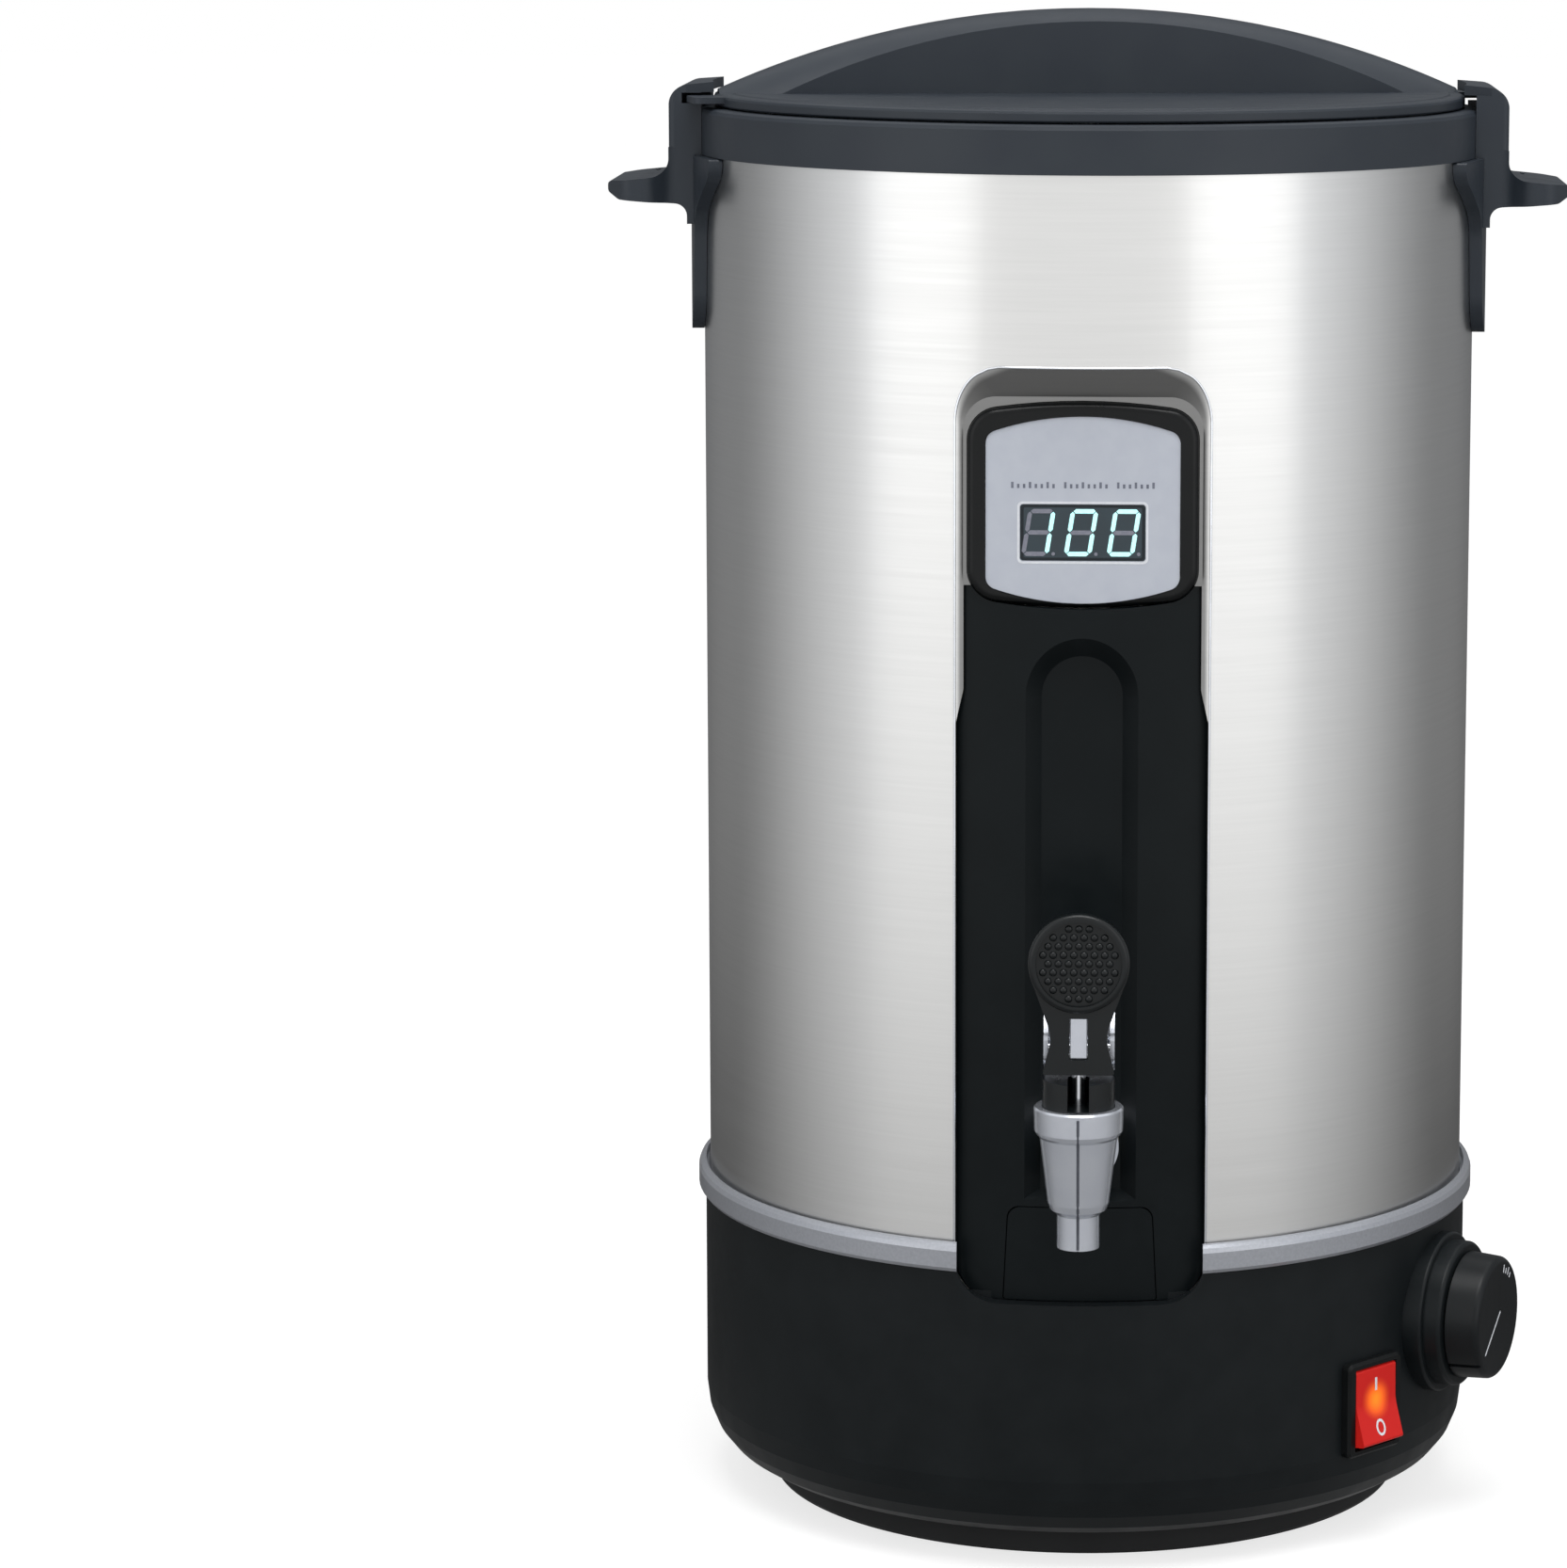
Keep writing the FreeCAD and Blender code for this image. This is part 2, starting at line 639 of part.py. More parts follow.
def make_base_shell():
    outer = base_outline()
    wall, seat = BASE_WALL, SHELL_FOOT
    ledge_r = BASE_R - 10.5
    groove_r = BODY_R + RIM_SKIN
    inner = [(r - wall, z) for r, z in outer[1:-1]]
    foot_in = FOOT_R - FOOT_WIDTH
    profile = outer + [
        (foot_in, UNDERSIDE_Z),
        (foot_in, UNDERSIDE_Z + wall),
        (BASE_UNDER_R - wall, UNDERSIDE_Z + wall),
    ]
    profile += list(reversed(inner))
    profile += [
        (BASE_R - wall, SHIELD_Z - 4.5),
        (ledge_r, SHIELD_Z - 2.5),
        (ledge_r, SHIELD_Z),
        (BODY_R - STEEL - 2.7, SHIELD_Z),
        (BODY_R - STEEL - 2.7, seat),
        (groove_r, seat),
        (groove_r, BASE_TOP),
    ]
    body = turned(profile)
    half = MOUNT_TAB_HALF
    tab = ring(HOUSING_R - 4.6, HOUSING_R - 7.5, SHIELD_Z - 4, POCKET_TOP_Z - 8)
    bridge = ring(ledge_r + 3, HOUSING_R - 7.5, SHIELD_Z - 4, SHIELD_Z)
    tab, bridge = [piece.common(block(-half, half, -BIG, 0, 0, BIG)) for piece in (tab, bridge)]
    posts = [base_post(a) for a in BASE_SCREW_ANGLES]
    body = fused([body, tab, bridge] + posts)
    notch = front_prism(
        upright(HOUSING_LOW_HALF + LAP, HOUSING_FOOT_Z - LAP, BASE_TOP + 20, HOUSING_CORNER + 1, 0),
        -BIG,
        -(HOUSING_R - 3.2),
    )
    tools = [notch]
    tools += [base_screw_hole(a) for a in BASE_SCREW_ANGLES]
    tools += [rod(V(x, -BIG, HOUSING_SCREW_Z), BACK, SCREW_R - 0.3, BIG - CORE_R) for x in HOUSING_SCREW_X]
    tools.append(at_azimuth(rod(V(0, -BASE_R - 5, KNOB_Z), BACK, BUSH_R + LAP, 20), KNOB_AZ))
    rocker_hole = block(
        -SWITCH_BODY_W / 2 - LAP, SWITCH_BODY_W / 2 + LAP, -BIG, -CORE_R,
        ROCKER_Z - SWITCH_BODY_H / 2 - LAP, ROCKER_Z + SWITCH_BODY_H / 2 + LAP,
    )
    tools.append(at_azimuth(rocker_hole, ROCKER_AZ))
    inlet_hole = block(
        -INLET_BODY_W / 2 - LAP, INLET_BODY_W / 2 + LAP, -BIG, -CORE_R,
        INLET_Z - INLET_BODY_H / 2 - LAP, INLET_Z + INLET_BODY_H / 2 + LAP,
    )
    tools.append(opposite(inlet_hole))
    for side in (-1, 1):
        hole = rod(V(side * INLET_SCREW_X, -BASE_R - 5, INLET_Z), BACK, SCREW_R - 0.5, 20)
        tools.append(opposite(hole))
    return cut(body, tools)


def around(r, degrees):
    a = math.radians(degrees)
    return r * math.cos(a), r * math.sin(a)


def base_post(angle):
    x, y = around(BASE_SCREW_R, angle)
    post = disc(POST_R, UNDERSIDE_Z, UNDERSIDE_Z + POST_H, x, y)
    reach = FOOT_R - FOOT_WIDTH + 6
    web = block(BASE_SCREW_R, reach, -BASE_WALL / 2, BASE_WALL / 2, UNDERSIDE_Z, UNDERSIDE_Z + BASE_WALL)
    web.rotate(CENTRE, UP, angle)
    return post.fuse(web)


def base_screw_hole(angle):
    x, y = around(BASE_SCREW_R, angle)
    return disc(SCREW_R - 0.2, 0, UNDERSIDE_Z + POST_H - 3, x, y)


def make_bottom_plate():
    r = FOOT_R - FOOT_WIDTH + 3.0
    plate = disc(r, BOTTOM_Z, BOTTOM_Z + PLATE_METAL)
    tools = []
    for angle in BASE_SCREW_ANGLES:
        x, y = around(BASE_SCREW_R, angle)
        tools.append(disc(SCREW_R + 0.3, 0, BASE_TAPER_Z, x, y))
    for row in (-3, -2, -1, 0, 1, 2, 3):
        for side in (-1, 1):
            x0, x1 = side * VENT_X - VENT_L / 2, side * VENT_X + VENT_L / 2
            y0, y1 = row * VENT_STEP - VENT_W / 2, row * VENT_STEP + VENT_W / 2
            corners = [(x, y, VENT_CORNER) for x, y in ((x0, y0), (x1, y0), (x1, y1), (x0, y1))]
            tools.append(plan_prism(corners, 0, BASE_TAPER_Z))
    return cut(plate, tools)


def make_foot_ring():
    """The rubber ring that the urn stands on, pressed over a lip of the bottom plate."""
    r_in = FOOT_R - FOOT_WIDTH
    profile = [
        (FOOT_R - 0.8, 0), (FOOT_R, 1.2), (FOOT_R, UNDERSIDE_Z), (r_in + 3.2, UNDERSIDE_Z),
        (r_in + 3.2, BOTTOM_Z - LAP), (r_in, BOTTOM_Z - LAP), (r_in, 1.2), (r_in + 0.8, 0),
    ]
    return turned(profile)


def make_trim_ring():
    top, foot = TRIM_TOP, BASE_TOP
    inner_foot = BODY_R + RIM_SKIN
    inner_top = BODY_R + TRIM_GROOVE
    profile = [
        (TRIM_R - 0.9, foot), (TRIM_R, foot + 1.2), (TRIM_R, top - 2.6), (TRIM_R - 0.5, top - 1.2),
        (TRIM_R - 1.4, top - 0.3), (TRIM_R - 2.0, top), (inner_top + 0.2, top),
        (inner_top, top - 2.4), (inner_foot, top - 3.0), (inner_foot, foot),
    ]
    return turned(profile).cut(block(-CUT_HALF + 0.9, CUT_HALF - 0.9, -BIG, 0, 0, BIG))


def make_rim_ring():
    skin = BODY_R + RIM_SKIN
    sleeve_top = RIM_FOOT + SHELL_IN_RIM + LAP
    r_ledge_in = POT_R + LAP
    profile = [
        (RIM_R, RIM_FOOT), (RIM_R, RIM_TOP - 1.6), (RIM_R - 0.5, RIM_TOP - 0.5), (RIM_R - 1.6, RIM_TOP),
        (FLANGE_R + 0.6, RIM_TOP), (FLANGE_R + 0.6, POT_LEDGE), (r_ledge_in, POT_LEDGE),
        (r_ledge_in, POT_LEDGE - 2.5), (BODY_R - 4.5, POT_LEDGE - 2.5), (BODY_R - 2.6, RIM_FOOT + 3.9),
        (BODY_R - 2.6, RIM_FOOT), (BODY_R - 1.1, RIM_FOOT), (BODY_R - 1.1, sleeve_top),
        (skin, sleeve_top), (skin, RIM_FOOT),
    ]
    return turned(profile)


# ---------------------------------------------------------------- handles
def handle_screw_places():
    return [(side * HANDLE_SCREW_Y, PADDLE_TOP - HANDLE_SCREW_DROP) for side in (-1, 1)]


def make_handle():
    """The +X handle; the other is the same moulding turned half round."""
    body_face, rim_face = BODY_R + 0.1, RIM_R + 0.1
    h, out = HANDLE_HALF, HANDLE_OUT
    roof_z = ROOF_TOP - HANDLE_ROOF_T
    column = plan_prism(
        [(CORE_R, -h, 0), (out, -h, 2), (out, h, 2), (CORE_R, h, 0)], PADDLE_TOP - 6, ROOF_TOP + 2
    )
    column = column.common(side_profile_column())
    column = column.cut(disc(rim_face, RIM_FOOT - LAP, roof_z))
    reach = LID_R + 0.4
    roof_keep = plan_prism(
        [(reach - 8, -h + 7, 2), (reach + 7, -h, 0), (out + 5, -h, 0),
         (out + 5, h, 0), (reach + 7, h, 0), (reach - 8, h - 7, 2)],
        RIM_TOP, ROOF_TOP + 2,
    )
    lower_keep = block(0, out + 5, -h, h, 0, roof_z)
    column = column.common(fused([lower_keep, roof_keep]))
    column = column.cut(disc(reach, RIM_FOOT, ROOF_TOP + 1))
    slot = block(0, SLOT_R, -h + HANDLE_END, h + 20, SLOT_FLOOR, SLOT_FLOOR + SLOT_H)
    column = column.cut(slot.common(disc(SLOT_R, RIM_FOOT, ROOF_TOP)))

    outer = paddle_plan(0)
    lower = [(CORE_R, -h, 0)] + outer + [(CORE_R, h, 0)]
    paddle = side_profile_paddle().common(plan_prism(lower, PADDLE_TOP - 20, PADDLE_TOP + 10))
    tray_root = HANDLE_OUT + 6.5
    tray = plan_prism(
        [(tray_root, -PADDLE_HALF + 5, 2)] + paddle_plan(3)[1:-1] + [(tray_root, PADDLE_HALF - 5, 2)],
        PADDLE_TOP - PADDLE_TRAY, PADDLE_TOP + 1,
    )
    paddle = paddle.cut(tray)

    top, saddle_foot = RIM_FOOT - LAP, RIM_FOOT - LAP - SADDLE_H
    half = [
        (LEG_HALF_END, LEG_END, 14), (LEG_HALF_TOP, saddle_foot - 6, 14),
        (SADDLE_HALF, saddle_foot + 8, 8), (SADDLE_HALF, top, 1),
    ]
    other = [(-y, z, r) for y, z, r in reversed(half)]
    leg = against_body(half + other, body_face, LEG_PROUD, LEG_END, top)
    handle = fused([column, paddle, leg])
    clear = fused([disc(body_face, 0, RIM_FOOT), disc(rim_face, RIM_FOOT - LAP, SLOT_FLOOR)])
    depth = HANDLE_OUT - 4 - CORE_R
    holes = [rod(V(CORE_R, y, z), RIGHT, SCREW_R - 0.2, depth) for y, z in handle_screw_places()]
    return cut(handle, [clear] + holes)


def against_body(corners, r, proud, z0, z1):
    """A flap that hugs the body: an outline in (y, z) on a sleeve from radius r to r + proud."""
    face = Part.Face(rounded(corners, lambda u, v: V(CORE_R, u, v)))
    return ring(r + proud, r, z0, z1).common(face.extrude(V(HANDLE_OUT - CORE_R, 0, 0)))


def side_profile_column():
    """The column seen along Y: its roof slopes and turns over into the outer face."""
    foot, out = PADDLE_TOP - 6, HANDLE_OUT
    corners = [(CORE_R, foot, 0), (out, foot, 0), (out, ROOF_TOP - 1.5, 7), (CORE_R, ROOF_TOP + 1.5, 0)]
    wire = rounded(corners, lambda u, v: V(u, -HANDLE_HALF, v))
    return Part.Face(wire).extrude(V(0, 2 * HANDLE_HALF, 0))


def paddle_plan(shrink):
    """The paddle from above: it widens from the column's width, with a rounded nose."""
    p, nose, root = PADDLE_HALF - shrink, PADDLE_OUT - shrink, HANDLE_OUT
    side = [(root, -HANDLE_HALF, 5), (root + 6, -p, 6), (nose - 6, -p, 5), (nose, -p + 9, 7)]
    return side + [(x, -y, r) for x, y, r in reversed(side)]


def side_profile_paddle():
    """The paddle seen along Y: a slim grip that sweeps up into the column and down into the leg."""
    top, foot, out = PADDLE_TOP, PADDLE_TOP - PADDLE_T, PADDLE_OUT
    leg_face, root = BODY_R + LEG_PROUD, HANDLE_OUT
    corners = [
        (CORE_R, foot - 8, 0), (leg_face, foot - 8, 0), (leg_face, foot - 1.8, 4), (out - 4, foot, 3),
        (out, foot + 2.4, 2), (out, top - 2, 1.8), (root, top, 6), (root, top + 9, 0), (CORE_R, top + 9, 0),
    ]
    wire = rounded(corners, lambda u, v: V(u, -PADDLE_HALF, v))
    return Part.Face(wire).extrude(V(0, 2 * PADDLE_HALF, 0))


def make_handle_screws():
    screws = []
    for y, z in handle_screw_places():
        seat = math.sqrt((BODY_R - STEEL) ** 2 - y * y) - 0.75  # flat on the shell's curved inside
        tip = V(HANDLE_OUT - 5, y, z)
        screws.append(screw_along(tip, V(-1, 0, 0), SCREW_R - 0.2, tip.x - seat, 3.6, 2.4))
    screws += [opposite(s) for s in screws]
    return Part.Compound(screws)


# ---------------------------------------------------------------- lid
def bow_wire(half_chord, top_z, foot_z, y):
    arc = Part.Arc(V(-half_chord, y, foot_z), V(0, y, top_z), V(half_chord, y, foot_z)).toShape()
    line = Part.LineSegment(V(half_chord, y, foot_z), V(-half_chord, y, foot_z)).toShape()
    return Part.Wire([arc, line])


def bow_solid(half, face_chord, face_top, ridge_chord, ridge_top, foot_z):
    wires = [
        bow_wire(face_chord, face_top, foot_z, -half),
        bow_wire(ridge_chord, ridge_top, foot_z, 0),
        bow_wire(face_chord, face_top, foot_z, half),
    ]
    return Part.makeLoft(wires, True, False)


def make_lid_shell():
    under = DECK_Z - LID_WALL
    profile = [
        (0, under), (LID_R - LID_WALL, under), (LID_R - LID_WALL, LID_Z), (LID_R - 0.4, LID_Z),
        (LID_R, LID_Z + 0.5), (LID_R, DECK_Z - 1.1), (LID_R - 0.3, DECK_Z - 0.4), (LID_R - 1.1, DECK_Z),
        (LID_STEP_R + 0.5, DECK_Z), (LID_STEP_R, DECK_Z + LID_STEP), (0, DECK_Z + LID_STEP),
    ]
    deck = turned(profile)
    foot = DECK_Z - 0.6
    grip = bow_solid(
        GRIP_HALF, GRIP_FACE_CHORD, DECK_Z + GRIP_FACE_TOP, GRIP_RIDGE_CHORD, DECK_Z + GRIP_RIDGE_TOP, foot
    )
    grip = grip.common(disc(LID_R - 1.1, foot - 1, BIG * 2))
    w = GRIP_WALL
    hollow = bow_solid(
        GRIP_HALF - w, GRIP_FACE_CHORD - 9, DECK_Z + GRIP_FACE_TOP - w,
        GRIP_FACE_CHORD - 5, DECK_Z + GRIP_RIDGE_TOP - w, foot,
    )
    mouth_x, mouth_y = GRIP_FACE_CHORD - GRIP_MOUTH, GRIP_HALF - w
    mouth = block(-mouth_x, mouth_x, -mouth_y, mouth_y, under - 1, foot + 1)
    floor = disc(GRIP_HALF + 1, under, DECK_Z + LID_STEP)
    tabs = []
    for turn in (0, 180):
        tab_z = LID_Z + TAB_LIFT
        tab = block(LID_R - 3, TAB_R, -TAB_WIDTH / 2, TAB_WIDTH / 2, tab_z, tab_z + TAB_T)
        tab = tab.common(disc(TAB_R, 0, BIG * 2))
        ends = [e for e in tab.Edges if e.BoundBox.ZLength > TAB_T / 2 and e.BoundBox.XMin > LID_R]
        tab = tab.makeFillet(TAB_CORNER, ends)
        tab.rotate(CENTRE, UP, TAB_LEAD + turn)
        tabs.append(tab)
    lid = fused([deck, grip]).cut(hollow.fuse(mouth))
    lid = fused([lid, floor] + tabs)
    lid = lid.cut(disc(STUD_R + RUN, 0, DECK_Z + LID_STEP + 1))
    lid.rotate(CENTRE, UP, LID_REST_TURN)
    return lid


def make_lid_gasket():
    foot, top = GASKET_Z, COVER_Z
    r_in = COVER_DISH_R + COVER_T + 3.0
    return turned([(r_in, foot), (COVER_R - 1, foot), (COVER_R, foot + 0.8), (COVER_R, top), (r_in, top)])


def make_lid_cover():
    z, t, r, d = COVER_Z, COVER_T, COVER_DISH_R, COVER_DISH_DEPTH
    return turned([
        (0, z - d), (r + t - 1.0, z - d), (r + t, z - d + 1.0), (r + t, z), (COVER_R, z), (COVER_R, z + t),
        (r, z + t), (r, z - d + t + 0.6), (r - 0.6, z - d + t), (0, z - d + t),
    ])


def make_lid_stud():
    foot = COVER_Z - COVER_DISH_DEPTH + COVER_T
    shoulder = DECK_Z - LID_WALL - 0.3
    clip_z = DECK_Z + LID_STEP + 0.3
    stud = fused([
        disc(STUD_FOOT_R, foot, foot + 1.2),
        disc(STUD_BODY_R, foot, shoulder),
        disc(STUD_R, foot, clip_z + CLIP_T + 1.1),
    ])
    return stud.cut(ring(STUD_R + 1, STUD_R - CLIP_BITE, clip_z, clip_z + CLIP_T))


def make_lid_clip():
    clip_z = DECK_Z + LID_STEP + 0.3
    clip = ring(STUD_R + 3.2, STUD_R - CLIP_BITE, clip_z, clip_z + CLIP_T)
    return clip.cut(block(STUD_R - 2.5, STUD_R + 5, -1.6, 1.6, 0, BIG * 2))


# ---------------------------------------------------------------- housing and display
def channel(grow):
    """The tapered space of the channel down the housing, larger by grow."""
    wires = []
    top = HOUSING_TOP - CHANNEL_TOP_BELOW_HOUSING
    foot = POCKET_TOP_Z + 1.4
    for half, y, drop in (
        (CHANNEL_HALF, -HOUSING_R - 0.6, 0.0),
        (CHANNEL_FLOOR_HALF, CHANNEL_FLOOR_Y + grow, CHANNEL_HALF - CHANNEL_FLOOR_HALF),
    ):
        h = half + grow
        arch_z = top - drop - half
        foot_z = foot - grow + (drop / 2)
        arc = Part.Arc(V(h, y, arch_z), V(0, y, arch_z + h), V(-h, y, arch_z)).toShape()
        sides = [V(-h, y, arch_z), V(-h, y, foot_z), V(h, y, foot_z), V(h, y, arch_z)]
        lines = [Part.LineSegment(a, b).toShape() for a, b in zip(sides, sides[1:])]
        wires.append(Part.Wire([arc] + lines))
    return Part.makeLoft(wires, True, True)


def pocket_corners(shrink):
    top, foot = POCKET_TOP_Z - shrink, HOUSING_FOOT_Z + shrink * 0.3
    a, b = POCKET_HALF_TOP - shrink, POCKET_HALF_FOOT - shrink
    return [(-b, foot, 0.8), (b, foot, 0.8), (a, top, POCKET_CORNER), (-a, top, POCKET_CORNER)]


def make_front_housing():
    skin_in = HOUSING_R - HOUSING_T
    skin = ring(HOUSING_R, skin_in, HOUSING_FOOT_Z - 5, HOUSING_TOP + HOUSING_EAR + 5)
    skin = skin.common(front_prism(housing_outline(0), -BIG, 0))
    inner_y = HOUSING_FLANGE_Y
    wall_x = COVE_SIDE_HALF - STEEL - LAP
    sides = []
    for sign in (-1, 1):
        x0, x1 = sorted((sign * wall_x, sign * (wall_x - 2.0)))
        sides.append(block(x0, x1, -HOUSING_R, inner_y, POCKET_TOP_Z, HOUSING_TOP))
        x0, x1 = sorted((sign * (wall_x - 1), sign * (COVE_SIDE_HALF + 1.8)))
        sides.append(block(x0, x1, COVE_Y + STEEL + LAP, inner_y, POCKET_TOP_Z, HOUSING_SHOULDER_Z))
    web_top = POCKET_TOP_Z + 2.5
    web = ring(HOUSING_R, skin_in - CHANNEL_WALL, HOUSING_FOOT_Z, web_top)
    web = web.common(front_prism(upright(POCKET_HALF_FOOT + 2.0, HOUSING_FOOT_Z, web_top, 0, 5), -BIG, 0))
    whole = fused([skin, channel(CHANNEL_WALL), web] + sides).common(disc(HOUSING_R, 0, BIG * 2))
    pocket = front_prism(pocket_corners(0), -BIG, 0).cut(disc(HOUSING_R - POCKET_DEPTH, 0, BIG * 2))
    tools = [channel(0), pocket, bezel_space(LAP)]
    seat_r = HOUSING_SCREW_HEAD_R + LAP
    for x in HOUSING_SCREW_X:
        start = V(x, -BIG, HOUSING_SCREW_Z)
        tools.append(rod(start, BACK, SCREW_R, BIG - CORE_R))
        tools.append(rod(start, BACK, seat_r, BIG - HOUSING_SCREW_SEAT))
    tools.append(rod(V(0, -BIG, SHANK_Z), BACK, SHANK_R + LAP, BIG - CORE_R))
    return cut(whole, tools)


def make_screw_cover():
    cover = front_prism(pocket_corners(0.35), -BIG, 0)
    cover = cover.common(ring(HOUSING_R - 0.1, HOUSING_R - POCKET_DEPTH, 0, BIG))
    head_y = -(HOUSING_SCREW_SEAT + HOUSING_SCREW_HEAD_H + LAP)
    room = HOUSING_SCREW_HEAD_R + LAP
    return cut(cover, [rod(V(x, head_y, HOUSING_SCREW_Z), BACK, room, 10) for x in HOUSING_SCREW_X])


def make_housing_screws():
    tip_r = HOUSING_R - 10
    length = HOUSING_SCREW_SEAT - tip_r
    head_r, head_h = HOUSING_SCREW_HEAD_R, HOUSING_SCREW_HEAD_H
    screws = []
    for x in HOUSING_SCREW_X:
        tip = V(x, -tip_r, HOUSING_SCREW_Z)
        screws.append(screw_along(tip, V(0, -1, 0), SCREW_R - 0.3, length, head_r, head_h))
    return Part.Compound(screws)


def make_bezel():
    face, back = -BEZEL_FACE, -BEZEL_BACK
    frame = barrel(BEZEL_HALF, BEZEL_FOOT, BEZEL_TOP, BEZEL_ARCH, BEZEL_CORNER, face, back)
    frame = frame.makeFillet(BEZEL_ROUND, front_edges(frame, face))
    lip_y0 = COVE_Y + STEEL + LAP
    lip_y1 = lip_y0 + 1.2
    lip_top, lip_foot = BEZEL_TOP + 2.0, HOUSING_TOP + HOUSING_EAR + 2 * LAP
    lip = barrel(BEZEL_HALF + BEZEL_LIP, BEZEL_FOOT, lip_top, BEZEL_ARCH, BEZEL_CORNER + 2.0, lip_y0, lip_y1)
    lip = lip.common(block(-BIG, BIG, lip_y0, lip_y1, lip_foot, lip_top))
    slack = 0.15
    seat_foot, seat_top = PLATE_FOOT - slack, PLATE_FOOT + PLATE_H + slack
    seat = barrel(PLATE_HALF + slack, seat_foot, seat_top, PLATE_ARCH, PLATE_CORNER, -BIG, PLATE_BACK_Y)
    half_w, half_h = WINDOW_W / 2 + LAP, WINDOW_H / 2 + LAP
    through = block(-half_w, half_w, -BIG, 0, WINDOW_Z - half_h, WINDOW_Z + half_h)
    hollow_x, hollow_z = PLATE_HALF - 4, BOARD_HALF_H + 0.6
    hollow = block(-hollow_x, hollow_x, PLATE_BACK_Y + 1.6, 0, WINDOW_Z - hollow_z, WINDOW_Z + hollow_z)
    boss_y = PLATE_BACK_Y + 1.0
    bosses = [rod(V(x, boss_y, z), BACK, 2.2, BOARD_Y - boss_y) for x, z in board_screw_places()]
    hole_y = PLATE_BACK_Y + 0.6
    holes = [rod(V(x, hole_y, z), BACK, BOARD_SCREW_R, -hole_y) for x, z in board_screw_places()]
    whole = fused([frame.fuse(lip).cut(hollow)] + bosses)
    return cut(whole, [seat, through] + holes)


def board_screw_places():
    x = WINDOW_W / 2 + 3.6
    return [(sx * x, WINDOW_Z + sz * BOARD_SCREW_UP) for sx in (-1, 1) for sz in (-1, 1)]


def window_outline(shrink, corner):
    half_w, half_h = WINDOW_W / 2 - shrink, WINDOW_H / 2 - shrink
    return box_outline(half_w, WINDOW_Z - half_h, WINDOW_Z + half_h, corner)


def make_display_plate():
    top = PLATE_FOOT + PLATE_H
    plate = barrel(PLATE_HALF, PLATE_FOOT, top, PLATE_ARCH, PLATE_CORNER, PLATE_FACE_Y, PLATE_BACK_Y)
    return plate.cut(front_prism(window_outline(0, WINDOW_CORNER), -BIG, 0))


def make_led_window():
    outline = window_outline(0.1, WINDOW_CORNER - 0.1)
    return front_prism(outline, PLATE_FACE_Y + LENS_FRONT, PLATE_FACE_Y + LENS_BACK)


def make_display_module():
    return front_prism(window_outline(0.4, 0), PLATE_FACE_Y + LENS_BACK, BOARD_Y)


def make_display_board():
    outline = box_outline(PLATE_HALF - 4.4, WINDOW_Z - BOARD_HALF_H, WINDOW_Z + BOARD_HALF_H, 2)
    board = front_prism(outline, BOARD_Y, BOARD_Y + BOARD_T)
    return cut(board, [rod(V(x, BOARD_Y - 5, z), BACK, 1.3, 20) for x, z in board_screw_places()])


def make_display_screws():
    bite = 4.0
    screws = []
    for x, z in board_screw_places():
        tip = V(x, BOARD_Y - bite, z)
        screws.append(screw_along(tip, BACK, BOARD_SCREW_R, bite + BOARD_T, 1.9, 0.9))
    return Part.Compound(screws)


# ---------------------------------------------------------------- tap
def make_tap_body():
    cup_foot = COLLAR_TOP - COLLAR_H
    profile = [
        (0, SPOUT_TIP_Z), (SPOUT_R, SPOUT_TIP_Z), (SPOUT_R, SPOUT_SHOULDER_Z - 0.8),
        (CONE_FOOT_R - 2.2, SPOUT_SHOULDER_Z), (CONE_FOOT_R - 0.8, SPOUT_SHOULDER_Z + 1.0),
        (CONE_FOOT_R, CONE_FOOT_Z), (CONE_TOP_R, cup_foot - 1.2), (COLLAR_R - 0.9, cup_foot - 0.2),
        (COLLAR_R - 0.2, cup_foot + 1.0), (COLLAR_R, COLLAR_TOP - 0.6), (COLLAR_R - 0.5, COLLAR_TOP),
        (0, COLLAR_TOP),
    ]
    core = turned([(max(0, r - 0.35), z) for r, z in profile])
    parting = block(-0.3, 0.3, -COLLAR_R - 1, 0, 0, COLLAR_TOP + 1).cut(core)
    body = turned(profile).cut(parting)
    body.translate(V(0, TAP_Y, 0))
    flange_y = CHANNEL_FLOOR_Y - FRONT_WASHER_T
    body = fused([
        body,
        rod(V(0, TAP_Y, SHANK_Z), BACK, SHANK_R - 1.5, flange_y - TAP_Y),
        rod(V(0, flange_y - SHANK_FLANGE_T, SHANK_Z), BACK, SHANK_FLANGE_R, SHANK_FLANGE_T),
        rod(V(0, flange_y, SHANK_Z), BACK, SHANK_R, POT_SEAT_Y - flange_y),
        rod(V(0, POT_SEAT_Y, SHANK_Z), BACK, THREAD_R, THREAD_LENGTH),
    ])
    cup = disc(BONNET_R + LAP, CHAMBER_TOP, COLLAR_TOP + 5, 0, TAP_Y)
    chamber = disc(CHAMBER_R, SEAT_Z, CHAMBER_TOP + 1, 0, TAP_Y)
    bore = rod(V(0, TAP_Y, SHANK_Z), BACK, SHANK_BORE, BIG)
    drain = disc(SPOUT_BORE, SPOUT_TIP_Z - 1, SEAT_Z + 1, 0, TAP_Y)
    return cut(body, [cup, chamber, bore, drain])


